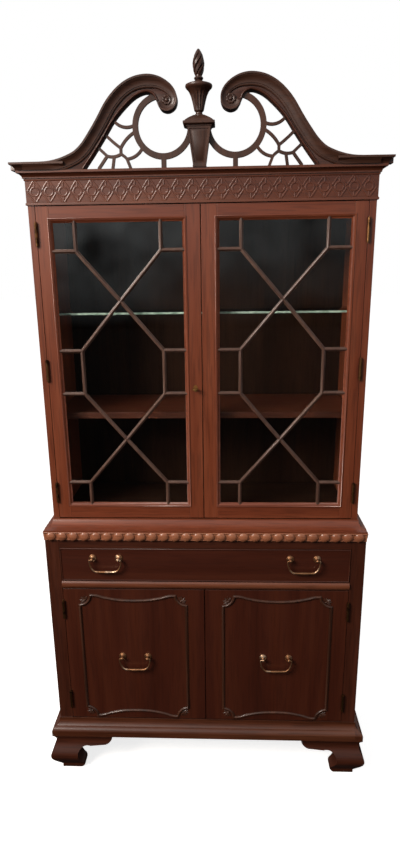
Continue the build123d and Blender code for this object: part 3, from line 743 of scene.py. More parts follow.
# ---------------------------------------------------------------- sub-assemblies
@dataclass
class BaseCase:
    """The cupboard part's mouldings: the gadrooned edge under the waist and the bead over the doors."""

    deck_half: float = 476.0
    front: float = -166.0
    back: float = 199.0
    deck_low: float = 835.0
    deck_high: float = 861.0
    lobe_pitch: float = 34.0
    lobe_half: tuple[float, float, float] = (15.5, 6.6, 14.5)
    lobe_taper: tuple[Point, ...] = ((-3.0, 0.9), (-7.0, 0.86), (-10.5, 0.8))   # (below this, this narrow)
    lobe_slant: float = 24.0
    lobe_sunk: float = 0.5          # how deep a lobe's sawn back stands in the strip
    lobe_drop: float = 1.2          # how far a lobe's middle hangs below the strip's
    ground: float = 4.6             # how far the strip's hollow stands out from the case
    rail_half: float = 437.5
    rail_low: float = 673.5
    rail_high: float = 696.5
    rail_out: float = 6.0

    def around(self) -> list[Point]:
        """Give the path round both sides and the front, seen from above."""
        half = self.deck_half
        return [(-half, self.back), (-half, self.front), (half, self.front), (half, self.back)]

    def lobe(self) -> Piece:
        """Carve one gadroon: an egg, narrower below, leaning, with its back sawn off."""
        egg = ball(self.lobe_half, 14, 10)
        with editing(egg):
            for level, share in self.lobe_taper:
                squeeze(egg, lambda place, level=level: place.z < level, (share, 1, 1))
        set_down(egg, turn=(0, self.lobe_slant, 0))
        return saw_off(egg, (0, self.lobe_sunk, 0), (0, 1, 0))

    def gadrooned_edge(self) -> Piece:
        """Build the strip and set its lobes along the front and both ends."""
        low, high = self.deck_low, self.deck_high
        strip = swept(
            self.around(),
            [(0, low), (3.4, low), (5.0, low + 1.2), (4.4, low + 3.0), (4.4, high - 5), (6.5, high - 3.2),
             (7.0, high - 1.2), (6.2, high), (0, high)],
            Drawn.PLAN,
        )
        middle = (low + high) / 2 - self.lobe_drop
        count = round(2 * self.deck_half / self.lobe_pitch)
        step = 2 * self.deck_half / count
        lobe = self.lobe()
        side_count = int((self.back - self.front) / step)
        sides = []
        for side in (-1, 1):
            first = set_down(copy_of(lobe), turn=(0, 0, side * 90))
            set_down(first, (side * (self.deck_half + self.ground), self.front + step / 2, middle))
            sides.append(row_of(first, side_count, (0, step, 0)))
        set_down(lobe, (-self.deck_half + step / 2, self.front - self.ground, middle))
        row_of(lobe, count, (step, 0, 0))
        return joined([strip, lobe, *sides])

    def rail_bead(self) -> Piece:
        """Build the thumb moulding on the rail between the drawer and the doors."""
        low, high, out = self.rail_low, self.rail_high, self.rail_out
        return swept(
            [(-self.rail_half, self.front), (self.rail_half, self.front)],
            [(-1, low), (1.4, low), (2.0, low + 2.0), (4.4, low + 4.0), (out - 0.3, low + 8), (out, low + 12),
             (out - 0.6, high - 6), (3.6, high - 2.2), (1.2, high), (-1, high)],
            Drawn.PLAN,
        )

    def build(self) -> None:
        """Build both mouldings and dress them."""
        turn = GrainTurn(Grain.DEEP, self.deck_half, BEYOND)
        dressed(self.gadrooned_edge(), "gadrooned_edge", GADROON_HIGHLIGHT.make(Grain.ACROSS, turn), "cabinet", "mahogany",
                "gadroon_moulding")
        dressed(self.rail_bead(), "rail_bead", RAIL_HIGHLIGHT.make(Grain.ACROSS), "cabinet", "mahogany")


@dataclass
class Handle:
    """A pair of turned posts with round back plates, and a bail that hangs between them."""

    body: str
    bail_body: str
    name: str
    middle: Point                   # X and Z of the handle's middle
    face: float = -166.0
    post_half: float = 40.0
    pivot_out: float = 14.0
    drop: float = 40.0
    rod: float = 2.6
    pin: float = 4.0                # how far short of the posts' middles the bail's ends stop

    def post(self) -> Piece:
        """Turn one post: a beaded back plate, a stem and the ball that holds the bail."""
        profile = [
            (0, -0.5), (11.5, -0.5), (11.5, 1.0), (10.9, 1.9), (9.9, 2.2), (9.2, 1.7), (8.6, 1.4), (7.8, 1.9),
            (6.4, 3.0), (4.6, 3.8), (3.5, 4.3), (3.1, 5.6), (3.1, 8.4), (3.9, 9.5), (4.8, 11.2), (5.3, 13.0),
            (5.3, 15.0), (4.8, 16.6), (3.7, 18.0), (2.0, 19.0), (0, 19.3),
        ]
        return set_down(turned(profile, 20), turn=(90, 0, 0))

    def posts(self) -> Piece:
        """Set a post at each end of the bail."""
        x, z = self.middle
        right = self.post()
        left = copy_of(right)
        set_down(right, (x + self.post_half, self.face, z))
        set_down(left, (x - self.post_half, self.face, z))
        return joined([right, left])

    def bail(self) -> Piece:
        """Bend the bail: ends turned into the posts, necks curving in, and a bar that swells in the middle."""
        x, z = self.middle
        end = self.post_half - self.pin
        half = [(end, 0), (end + 7.5, 0.2), (end + 11.6, -2.2), (end + 11.8, -8.0), (end + 10.2, -18.0),
                (end + 5.4, -29.5), (end - 1.6, -37.0), (end - 9.0, -39.6), (end - 16.5, -self.drop),
                (end - 26.0, -self.drop - 0.4)]
        swell = [0.9, 0.9, 0.95, 0.95, 0.95, 1.05, 1.2, 1.45, 1.3, 1.5]
        points = [(-a, b) for a, b in half] + [(0, -self.drop - 0.5)] + [(a, b) for a, b in reversed(half)]
        widths = [*swell, 1.6, *reversed(swell)]
        line = through([(a, w) for (a, _), w in zip(points, widths)], 4)
        path = [(x + a, z + b) for a, b in through(points, 4)]
        return swept(path, round_section(self.rod), Drawn.FRONT, self.face - self.pivot_out,
                     widths=[w for _, w in line])


@dataclass
class CupboardDoor:
    """The applied moulding on a cupboard door's flat panel, with a carved spray in each corner."""

    side: int                       # -1 for the left door, 1 for the right
    face: float = -166.0
    middle_x: float = 222.0
    half: float = 165.0
    notch: float = 34.0
    top: tuple[float, float] = (648.0, 630.0)       # shoulder and dip
    bottom: tuple[float, float] = (207.0, 228.0)    # shoulder and rise
    leaf_half: tuple[float, float, float] = (3.6, 2.6, 9.5)
    leaf_taper: tuple[Point, ...] = ((2.5, 0.8), (6.0, 0.7), (8.5, 0.6))        # (above this, this narrow)
    leaf_thin: float = 0.92
    leaf_hollow: float = 1.1
    leaf_foot: float = 1.5          # how far a leaf reaches past the spray's point
    fan: tuple[float, ...] = (-74.0, -38.0, 38.0, 74.0)         # lean of the leaves beside the upright one
    bud_half: tuple[float, float, float] = (4.2, 3.4, 4.2)
    bud_tip: float = -2.4
    bud_shares: tuple[float, float, float] = (0.7, 1.1, 0.7)    # the tip's, against the ball's
    spray_in: tuple[float, float] = (15.5, 17.5)    # from the cartouche's corner, along X and Z
    handle_z: float = 432.0

    @property
    def word(self) -> str:
        """Give the side in words."""
        return "left" if self.side < 0 else "right"

    def cartouche(self) -> list[Point]:
        """Draw the moulding's centre line, clockwise from the upper left notch."""
        def quarter(across: int, shoulder: float, dip: float, up: int) -> list[Point]:
            """Draw a quarter of the line, from the notch to the middle.

            Args:
                across: -1 for the left half, 1 for the right.
                shoulder: Height at the notch.
                dip: Height at the middle.
                up: 1 for the upper half, -1 for the lower.

            Returns:
                Its points, about the door's middle in X.
            """
            turn = shoulder - up * self.notch
            scoop = through([
                (self.half, turn), (self.half - 13, turn + up * 3.4), (self.half - 24, turn + up * 12),
                (self.half - 31.5, turn + up * 23), (self.half - self.notch, shoulder),
            ], 3)
            crest = through([
                (self.half - self.notch, shoulder), (112, shoulder - up * 1.2), (85, (shoulder + dip) / 2),
                (42, dip + up * 2.0), (0, dip),
            ], 4)
            return [(across * x, z) for x, z in scoop + crest[1:]]

        upper_left = quarter(-1, *self.top, 1)
        upper_right = quarter(1, *self.top, 1)[::-1]
        lower_right = quarter(1, *self.bottom, -1)
        lower_left = quarter(-1, *self.bottom, -1)[::-1]
        line = upper_left + upper_right[1:] + lower_right + lower_left[1:]
        return [(self.side * self.middle_x + x, z) for x, z in line]

    def leaf(self) -> Piece:
        """Carve one leaf: a flat egg drawn out to a tip, with a hollow down its middle."""
        leaf = ball(self.leaf_half, 12, 8)
        with editing(leaf):
            for level, share in self.leaf_taper:
                squeeze(leaf, lambda place, level=level: place.z > level, (share, self.leaf_thin, 1))
            pick_points(leaf, lambda place: abs(place.x) < 0.2 and place.y < 0)
            bpy.ops.transform.translate(value=(0, self.leaf_hollow * MM, 0))
        return set_down(leaf, (0, 0, self.leaf_half[2] - self.leaf_foot))

    def spray(self) -> Piece:
        """Fan five leaves out from one point and set a bud at their foot."""
        leaf = self.leaf()
        fan = [set_down(copy_of(leaf), turn=(0, angle, 0)) for angle in self.fan]
        bud = ball(self.bud_half, 12, 8)
        with editing(bud):
            squeeze(bud, lambda place: place.y < self.bud_tip, self.bud_shares)
        return joined([leaf, *fan, bud])

    def build(self) -> None:
        """Build the moulding with its sprays, and the door's handle, and dress them."""
        section = [(-4.5, -1), (-4.5, 1.3), (-3.5, 1.7), (-2.7, 3.2), (-1.2, 4.7), (0.6, 5.0), (2.2, 4.3),
                   (3.1, 2.6), (3.6, 1.8), (4.5, 1.5), (4.5, -1)]
        parts = [swept(self.cartouche(), section, Drawn.FRONT, self.face, closed=True)]
        spray = self.spray()
        for across, up, shoulder in ((-1, 1, self.top[0]), (1, 1, self.top[0]), (-1, -1, self.bottom[0]),
                                     (1, -1, self.bottom[0])):
            lean = across * (45 if up > 0 else 135)
            corner = set_down(copy_of(spray), turn=(0, lean, 0))
            x = self.side * self.middle_x + across * (self.half - self.spray_in[0])
            parts.append(set_down(corner, (x, self.face, shoulder - up * self.spray_in[1])))
        bpy.data.objects.remove(spray)
        body = f"{self.word}_cupboard_door"
        dressed(joined(parts), f"{self.word}_cartouche", FIGURED_EDGE.make(Grain.UPRIGHT), body,
                "mahogany", f"{self.word}_door_moulding")
        handle = Handle(body, f"{self.word}_cupboard_bail", f"{self.word}_door",
                        (self.side * self.middle_x, self.handle_z))
        dressed(handle.posts(), f"{handle.name}_posts", ANTIQUE_BRASS.make(), handle.body,
                "antique_brass", f"{self.word}_handle_posts")
        dressed(handle.bail(), f"{handle.name}_pull", ANTIQUE_BRASS.make(), handle.bail_body,
                "antique_brass", f"{self.word}_door_bail")


@dataclass
class Drawer:
    """The long drawer's cock bead and its two handles."""

    half: float = 437.0
    low: float = 699.0
    high: float = 807.0
    face: float = -166.0
    handle_x: float = 298.0
    handle_z: float = 775.0
    inset: float = 0.2              # how far the cock bead stays inside the front's edge

    def cock_bead(self) -> Piece:
        """Run the small round bead along the edges of the drawer front."""
        left, right = self.inset - self.half, self.half - self.inset
        low, high = self.low + self.inset, self.high - self.inset
        return swept(
            [(left, low), (left, high), (right, high), (right, low)],
            [(0, -0.6), (0, 1.0), (0.6, 1.9), (1.6, 2.3), (2.6, 1.9), (3.2, 1.0), (3.2, -0.6)],
            Drawn.FRONT, self.face, closed=True,
        )

    def build(self) -> None:
        """Build the bead and the handles and dress them."""
        dressed(self.cock_bead(), "drawer_cock_bead", STAINED.make(Grain.ACROSS), "drawer", "mahogany")
        posts = []
        for side, word in ((-1, "left"), (1, "right")):
            handle = Handle("drawer", f"drawer_{word}_bail", f"drawer_{word}",
                            (side * self.handle_x, self.handle_z))
            posts.append(handle.posts())
            dressed(handle.bail(), f"{handle.name}_pull", ANTIQUE_BRASS.make(), handle.bail_body,
                    "antique_brass", f"drawer_{word}_bail")
        dressed(joined(posts), "drawer_posts", ANTIQUE_BRASS.make(), "drawer", "antique_brass",
                "drawer_handle_posts")


@dataclass
class GlazedDoor:
    """A glazed door's sticking round the glass and its lattice of glazing bars."""

    side: int
    face: float = -121.0
    glass: float = -113.0
    sight_x: tuple[float, float] = (43.0, 405.0)    # the opening between the stiles
    sight_z: tuple[float, float] = (929.0, 1746.0)  # and between the rails
    lattice_z: float = 1333.0
    bar_side: float = 116.0         # from the lattice's middle to its upright bars
    outer: float = 333.0            # and, along Z, to the outer knees of the long bars
    crossing: float = 199.0
    inner: float = 62.0

    @property
    def word(self) -> str:
        """Give the side in words."""
        return "left" if self.side < 0 else "right"

    def sticking(self) -> Piece:
        """Run the rounded inner edge of stiles and rails down to the glass."""
        x = sorted(self.side * value for value in self.sight_x)
        left, right = x
        low, high = self.sight_z
        return swept(
            [(left, low), (left, high), (right, high), (right, low)],
            [(-5.6, -0.4), (-5.6, 0.9), (-4.9, 1.7), (-3.9, 1.9), (-2.9, 1.4), (-2.4, 0.5), (-0.6, -0.4),
             (1.4, -1.8), (3.2, -3.6), (4.6, -5.2), (6.2, -6.0), (6.6, -6.6), (6.6, -7.9), (0.05, -7.9),
             (0.05, -1.2), (-1.0, -0.4)],
            Drawn.FRONT, self.face, closed=True,
        )

    def lattice(self) -> Piece:
        """Lay the bars: two long crossing ones and eight short ones to the frame."""
        middle_x = self.side * sum(self.sight_x) / 2
        middle_z = self.lattice_z
        half_x = (self.sight_x[1] - self.sight_x[0]) / 2 + 1
        top, foot = self.sight_z[1] - middle_z + 1, self.sight_z[0] - middle_z - 1
        section = [(-5.5, 0.05), (-5.5, 1.7), (-4.3, 2.1), (-3.9, 3.5), (-2.7, 5.3), (-1.0, 6.3), (1.0, 6.3),
                   (2.7, 5.3), (3.9, 3.5), (4.3, 2.1), (5.5, 1.7), (5.5, 0.05)]
        runs: list[list[Point]] = []
        for across in (-1, 1):
            bar = across * self.bar_side
            runs.append([
                (bar, top), (bar, self.outer), (0, self.crossing), (-bar, self.inner), (-bar, -self.inner),
                (0, -self.crossing), (bar, -self.outer), (bar, foot),
            ])
            runs += [[(bar, z), (across * half_x, z)]
                     for z in (self.outer, self.inner, -self.inner, -self.outer)]
        return joined([
            swept([(middle_x + x, middle_z + z) for x, z in run], section, Drawn.FRONT, self.glass)
            for run in runs
        ])

    def build(self) -> None:
        """Build the sticking and the bars and dress them."""
        body = f"{self.word}_glass_door"
        turn = GrainTurn(Grain.ACROSS, self.sight_x[0] + 0.1, self.sight_x[1] - 0.1)
        dressed(self.sticking(), f"{self.word}_sticking", POLISHED.make(Grain.UPRIGHT, turn), body, "mahogany")
        dressed(self.lattice(), f"{self.word}_lattice", BAR_WOOD.make(Grain.UPRIGHT), body, "mahogany",
                f"{self.word}_glazing_bars")


@dataclass
class FretFrieze:
    """The frieze under the cornice: a sunk ground between two fillets, with a blind fret of rings and waves."""

    half: float = 460.0
    front: float = -121.0
    back: float = 199.0
    low: float = 1784.0
    high: float = 1850.0
    out: float = 4.0
    ground: float = 1.9
    pitch: float = 38.0
    fillet: float = 6.4             # how far the fret stays off the top and bottom edges
    ring: float = 0.42              # the ring's size against the fret's
    sunk: float = 0.2
    wave_end: float = 0.1           # a wave's height at its ends and between, against its crest's
    wave_side: float = 0.62

    def board(self) -> Piece:
        """Run the frieze board round the front and both sides."""
        low, high, out, ground = self.low, self.high, self.out, self.ground
        return swept(
            [(-self.half, self.back), (-self.half, self.front), (self.half, self.front), (self.half, self.back)],
            [(0, low), (out, low), (out, low + 4), (out - 0.8, low + 6), (ground, low + 6.6),
             (ground, high - 6.6), (out - 0.8, high - 6), (out, high - 4), (out, high), (0, high)],
            Drawn.PLAN,
        )

    def unit(self) -> Piece:
        """Carve one repeat of the fret about the origin: two waves that enclose a ring on two ties."""
        level = self.sunk - self.ground
        section = [(-2.6, 0), (-2.2, 0.9), (-1.2, 1.3), (1.2, 1.3), (2.2, 0.9), (2.6, 0)]
        half, tall = self.pitch / 2, (self.high - self.low) / 2 - self.fillet
        waves = [
            through([(-half, up * tall * self.wave_end), (-half / 2, up * tall * self.wave_side), (0, up * tall),
                     (half / 2, up * tall * self.wave_side), (half, up * tall * self.wave_end)], 3)
            for up in (-1, 1)
        ]
        eye = [(self.ring * x, self.ring * z) for x, z in round_section(tall)]
        return joined([
            *(swept(wave, section, Drawn.FRONT, level) for wave in waves),
            swept(eye, section, Drawn.FRONT, level, closed=True),
            swept([(0, -tall), (0, -tall * self.ring)], section, Drawn.FRONT, level),
            swept([(0, tall * self.ring), (0, tall)], section, Drawn.FRONT, level),
        ])

    def build(self) -> None:
        """Build the frieze and dress it."""
        middle = (self.low + self.high) / 2
        count = int(2 * self.half / self.pitch)
        unit = self.unit()
        side_count = int((self.back - self.front) / self.pitch)
        rows = []
        for side in (-1, 1):
            first = set_down(copy_of(unit), turn=(0, 0, side * 90))
            margin = (self.back - self.front - side_count * self.pitch) / 2
            set_down(first, (side * self.half, self.front + margin + self.pitch / 2, middle))
            rows.append(row_of(first, side_count, (0, self.pitch, 0)))
        set_down(unit, (-(count - 1) / 2 * self.pitch, self.front, middle))
        row_of(unit, count, (self.pitch, 0, 0))
        dressed(joined([self.board(), unit, *rows]), "fret_frieze",
                SHADED.make(Grain.ACROSS, GrainTurn(Grain.DEEP, self.half + 0.2, BEYOND)), "cabinet", "mahogany",
                "frieze")


@dataclass
class Pediment:
    """Two swan necks with carved scrolls, and between them a plinth with its urn and flame."""

    back: float = -109.0
    board_face: float = -138.0
    ledge: float = 1868.0
    eye: Point = (80.0, 2024.0)
    plinth_y: float = -131.0
    crown_at_scroll: float = 0.5    # the crown moulding's size at the scroll against its full size
    crown_full: float = 0.42        # share of the crest after which it has its full size
    panel_z: Point = (1880.0, 1950.0)               # faces of the plinth between these get a sunk panel
    panel_steps: tuple[Point, ...] = ((4.2, 0), (1.2, -1.6), (2.6, 0), (2.4, 1.5))      # (inwards, out)
    round_steps: int = 32
    flame_steps: int = 24
    flame_foot: float = 2076.8
    flame_twist: float = 190.0

    def crest(self) -> list[Point]:
        """Draw the top edge of the right neck from the end of its scroll to the corner of the cornice."""
        return through([
            (104, 2016), (94, 2002.6), (77, 1998.4), (60, 2008), (54, 2027), (60, 2046), (75, 2062), (99, 2075),
            (129, 2080), (162, 2075), (190, 2062), (214, 2043), (236, 2018), (258, 1984), (279, 1954),
            (303, 1924), (331, 1904), (385, 1888), (458, 1886),
        ], 5)

    def belly(self) -> list[Point]:
        """Draw the lower edge of the right neck from the cornice up to the scroll."""
        return through([(300, self.ledge), (271, 1905), (241, 1946), (215, 1983), (186, 2013), (159, 2034),
                        (133, 2043), (115, 2037), (106, 2022)], 5)

    def neck(self) -> tuple[Piece, Piece]:
        """Build the right neck.

        Returns:
            The board with the bead along its belly, and the crown moulding along its crest with its corner.
        """
        crest, belly = self.crest(), self.belly()
        outline = [*crest, (491, 1886), (491, self.ledge - 4), (300, self.ledge - 4), *belly]
        thickness = self.back - self.board_face
        board = sawn(outline, Drawn.FRONT, (self.back + self.board_face) / 2, thickness, 0.8)
        bead = swept(belly, [(-0.2, -6), (-0.2, 1.2), (0.8, 2.6), (2.6, 3.3), (4.4, 2.6), (5.4, 1.0), (5.8, -6)],
                     Drawn.FRONT, self.board_face)
        crown = [(0, -16), (0, 15), (4.6, 15), (5.4, 13.2), (7.2, 12.6), (9.6, 10.4), (13.4, 8.0), (18.4, 6.4),
                 (22.4, 5.8), (23.0, 4.2), (25.4, 4.0), (27.4, 3.2), (28.6, 1.6), (28.8, -16)]
        run = len(crest)
        widths = []
        for number in range(run):
            along = min(1.0, number / (run * self.crown_full))
            widths.append(self.crown_at_scroll + (1 - self.crown_at_scroll) * along * along)
        cap = swept(crest, crown, Drawn.FRONT, self.board_face, widths=widths)
        corner = swept(
            [(350, -125), (464, -125), (464, -100)],
            [(-6, 1866), (14, 1866), (15.6, 1869.6), (18.6, 1875), (23.4, 1878.4), (27.2, 1880.6), (27.8, 1881.2),
             (27.8, 1886), (-6, 1886)],
            Drawn.PLAN,
        )
        pieces = joined([board, bead]), joined([cap, corner])
        for piece in pieces:
            saw_off(piece, (0, 0, self.ledge + 0.2), (0, 0, -1))
        return pieces

    def rosette(self) -> Piece:
        """Turn and carve the rosette in the eye of the right scroll."""
        flower = turned([(0, -4), (12.5, -4), (12.5, 1.6), (11.8, 3.0), (10.2, 3.8), (8.2, 3.4), (6.2, 2.4),
                         (5.0, 2.2), (4.6, 4.0), (3.2, 5.2), (1.4, 5.7), (0, 5.8)], self.round_steps)
        fluted(flower, self.round_steps, 4, -1, 5.4, 0.16)
        set_down(flower, turn=(90, 0, 0))
        return set_down(flower, (self.eye[0], self.board_face - 1.0, self.eye[1]))

    def plinth(self) -> Piece:
        """Build the plinth: a shaft that widens upwards, a moulded cap and a small domed roof."""
        column = stacked([
            (17.5, 1868.2), (17.5, 1872), (16.8, 1873.4), (29.4, 1960), (31.6, 1961), (31.6, 1963), (33.6, 1963.8),
            (38.2, 1965.4), (40, 1967), (40, 1971.4), (38.2, 1972.8), (35.6, 1973.4), (34.4, 1975.4),
            (28.4, 1979.8), (21.6, 1984), (17.0, 1986.4), (15.4, 1987.2), (15.4, 1988),
        ], 0.75)
        with editing(column):
            for forward in ((0, -1, 0), (1, 0, 0), (-1, 0, 0)):
                way = Vector(forward)
                pick_faces(column, lambda middle, normal, way=way: (
                    self.panel_z[0] < middle.z < self.panel_z[1] and normal.dot(way) > 0.8))
                for inwards, out in self.panel_steps:
                    bpy.ops.mesh.inset(thickness=inwards * MM, depth=out * MM)
        return set_down(column, (0, self.plinth_y, 0))

    def urn(self) -> Piece:
        """Turn and flute the urn, and set a twisted flame in it."""
        body = turned([
            (0, 1986), (12.6, 1986), (12.6, 1989), (11.2, 1990.6), (8.6, 1992.4), (8.2, 1995), (9.8, 1997.4),
            (12.0, 1999), (13.2, 2004), (15.0, 2012), (17.4, 2022), (21.0, 2034), (25.6, 2043), (29.4, 2047.6),
            (31.8, 2049.4), (33.6, 2052), (34.2, 2055), (33.2, 2057.6), (29.0, 2059.4), (24.0, 2060.6),
            (18.6, 2062.6), (13.0, 2065), (9.0, 2066.8), (8.0, 2068.4), (10.4, 2069.6), (11.8, 2072),
            (10.6, 2074.6), (8.2, 2076), (8.2, 2079), (0, 2079),
        ], self.round_steps)
        fluted(body, self.round_steps, 2, 2003, 2044, 0.11)
        flame = turned([(0, 0), (8.0, 0), (10.6, 5), (13.0, 12), (14.6, 21), (14.8, 29), (13.4, 38), (10.4, 47),
                        (6.4, 54.5), (2.6, 59.6), (0, 61)], self.flame_steps)
        fluted(flame, self.flame_steps, 4, 3, 58, 0.3)
        use_modifier(flame, "SIMPLE_DEFORM", deform_method="TWIST", deform_axis="Z",
                     angle=math.radians(self.flame_twist))
        set_down(flame, (0, 0, self.flame_foot))
        return set_down(joined([body, close_up(flame)]), (0, self.plinth_y, 0))

    def build(self) -> None:
        """Build the necks, the plinth and the finial and dress them."""
        board, crown = self.neck()
        crown = joined([crown, self.rosette()])
        for word, piece in (("left", mirrored(board)), ("right", board)):
            dressed(piece, f"{word}_neck_board", SHADED_CARVING_GROUND.make(Grain.ACROSS), "cabinet", "mahogany",
                    f"{word}_swan_neck")
        for word, piece in (("left", mirrored(crown)), ("right", crown)):
            dressed(piece, f"{word}_neck_crown", SHADED_CARVING.make(Grain.ACROSS), "cabinet", "mahogany")
        dressed(self.plinth(), "plinth", SHADED_CARVING.make(Grain.UPRIGHT), "cabinet", "mahogany", "pediment_plinth")
        dressed(self.urn(), "urn_and_flame", SHADED_CARVING.make(Grain.UPRIGHT), "cabinet", "mahogany", "finial")


@dataclass
class GlassShelf:
    """The upper shelf: a polished plate with a seamed front edge."""

    half: float = 440.0
    front: float = -71.0
    back: float = 189.0
    low: float = 1492.0
    high: float = 1498.0

    def build(self) -> None:
        """Cut the plate, round its edges, and dress it."""
        plate = sawn(
            [(-self.half, self.front), (self.half, self.front), (self.half, self.back), (-self.half, self.back)],
            Drawn.PLAN, (self.low + self.high) / 2, self.high - self.low, 0.8,
        )
        dressed(plate, "shelf_plate", SHELF_GLASS.make(), "cabinet", "shelf_glass", "glass_shelf")
        plate.data.materials.append(SeamedEdge().make())
        with editing(plate):
            pick_faces(plate, lambda middle, normal: normal.y < -0.5)
            plate.active_material_index = 1
            bpy.ops.object.material_slot_assign()
        plate.visible_shadow = False


@dataclass
class FrameFinish:
    """The CAD nodes that show as they are: each gets its finish, and boards get softened edges."""

    doors: GrainTurn = GrainTurn(Grain.ACROSS, 43.1, 404.9)     # between the stiles of a glazed door
    rails: GrainTurn = GrainTurn(Grain.ACROSS, 0, 437.9)        # between the stiles of the face frame
    waist: GrainTurn = GrainTurn(Grain.DEEP, 460.2, BEYOND)     # round the corners of three mouldings
    plinth: GrainTurn = GrainTurn(Grain.DEEP, 480.2, BEYOND)
    cornice: GrainTurn = GrainTurn(Grain.DEEP, 464.2, BEYOND)
    same_place: float = 0.01        # points nearer than this are one
    sharp: float = 40.0             # edges sharper than this, in degrees, are rounded
    softened: ClassVar[dict[float, tuple[str, ...]]] = {        # by radius
        0.6: ("upper_bottom",),
        0.7: ("left_fret", "right_fret"),
        0.8: ("base_face_frame", "base_left_side", "base_right_side", "base_top", "upper_left_side",
              "upper_right_side", "drawer_front", "top_rail"),
        1.0: ("left_door_frame", "right_door_frame", "drawer_sides"),
        1.2: ("left_cupboard_door", "right_cupboard_door", "wood_shelf", "cupboard_shelf"),
    }

    def finishes(self) -> dict[str, bpy.types.Material]:
        """Give the finish of each CAD node by name."""
        chosen = (
            (POLISHED.make(Grain.UPRIGHT), "upper_left_side", "upper_right_side"),
            (POLISHED.make(Grain.ACROSS), "base_top", "top_rail"),
            (POLISHED.make(Grain.UPRIGHT, self.doors), "left_door_frame", "right_door_frame"),
            (POLISHED.make(Grain.ACROSS, self.waist), "waist_moulding"),
            (SHADED.make(Grain.ACROSS, self.cornice), "cornice"),
            (PLINTH_WOOD.make(Grain.ACROSS, self.plinth), "base_moulding"),
            (STAINED.make(Grain.UPRIGHT, self.rails), "base_face_frame"),
            (STAINED.make(Grain.UPRIGHT), "base_left_side", "base_right_side"),
            # the wood shelf in the display space takes this dark finish too: painted shade for the dim inside of
            # the case
            (STAINED.make(Grain.ACROSS), "base_bottom", "cupboard_shelf", "wood_shelf", "front_left_foot",
             "front_right_foot"),
            (STAINED.make(Grain.DEEP), "rear_feet"),
            (FIGURED.make(Grain.ACROSS), "drawer_front"),
            (FIGURED.make(Grain.UPRIGHT), "left_cupboard_door", "right_cupboard_door"),
            (SHADED_CARVING.make(Grain.UPRIGHT), "left_fret", "right_fret"),
            (INTERIOR_SHADE.make(Grain.UPRIGHT), "upper_back"),
            (INTERIOR_SHADE.make(Grain.ACROSS), "upper_bottom", "upper_top"),
            (PLAIN_WOOD.make(Grain.UPRIGHT), "base_back"),
            (PLAIN_WOOD.make(Grain.ACROSS), "dust_board", "drawer_bottom"),
            (PLAIN_WOOD.make(Grain.DEEP), "drawer_guides", "drawer_sides"),
            (PLAIN_BRASS.make(), "door_lock", "key", "lock_bolt", "shelf_pins"),
            (AGED_BRASS.make(), "hinge_frame_leaves", "left_glass_door_hinges", "right_glass_door_hinges",
             "left_cupboard_hinges", "right_cupboard_hinges"),
            (WINDOW_GLASS.make(), "left_pane", "right_pane"),
        )
        return {name: finish for finish, *names in chosen for name in names}

    def soften(self, node: Piece, radius: float) -> None:
        """Round a board's sharp edges with live modifiers; its own mesh stays as it came."""
        weld = node.modifiers.new("weld", "WELD")
        weld.merge_threshold = self.same_place * MM
        rounding = node.modifiers.new("rounding", "BEVEL")
        rounding.width = radius * MM
        rounding.segments = 2
        rounding.limit_method = "ANGLE"
        rounding.angle_limit = math.radians(self.sharp)
        rounding.harden_normals = True

    def build(self) -> None:
        """Dress every CAD node that still shows."""
        chosen = self.finishes()
        radii = {name: radius for radius, names in self.softened.items() for name in names}
        for name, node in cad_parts.items():
            if node.hide_render:
                continue
            node.data.materials.clear()
            node.data.materials.append(chosen[name])
            if name in radii:
                self.soften(node, radii[name])
            if "pane" in name:
                node.visible_shadow = False
            log.info("dressed %s with %s", name, chosen[name].name)


@dataclass(frozen=True)
class Lamp:
    """A soft rectangular lamp, placed and sized in metres."""

    name: str
    at: tuple[float, float, float]
    towards: tuple[float, float, float]
    size: tuple[float, float]
    power: float
    colour: str

    def hang(self) -> None:
        """Hang the lamp and aim it."""
        data = bpy.data.lights.new(self.name, "AREA")
        data.shape = "RECTANGLE"
        data.size, data.size_y = self.size
        data.energy = self.power
        data.color = linear(self.colour)[:3]
        lamp = bpy.data.objects.new(self.name, data)
        bpy.context.scene.collection.objects.link(lamp)
        lamp.location = self.at
        lamp.rotation_euler = (Vector(self.towards) - Vector(self.at)).to_track_quat("-Z", "Y").to_euler()


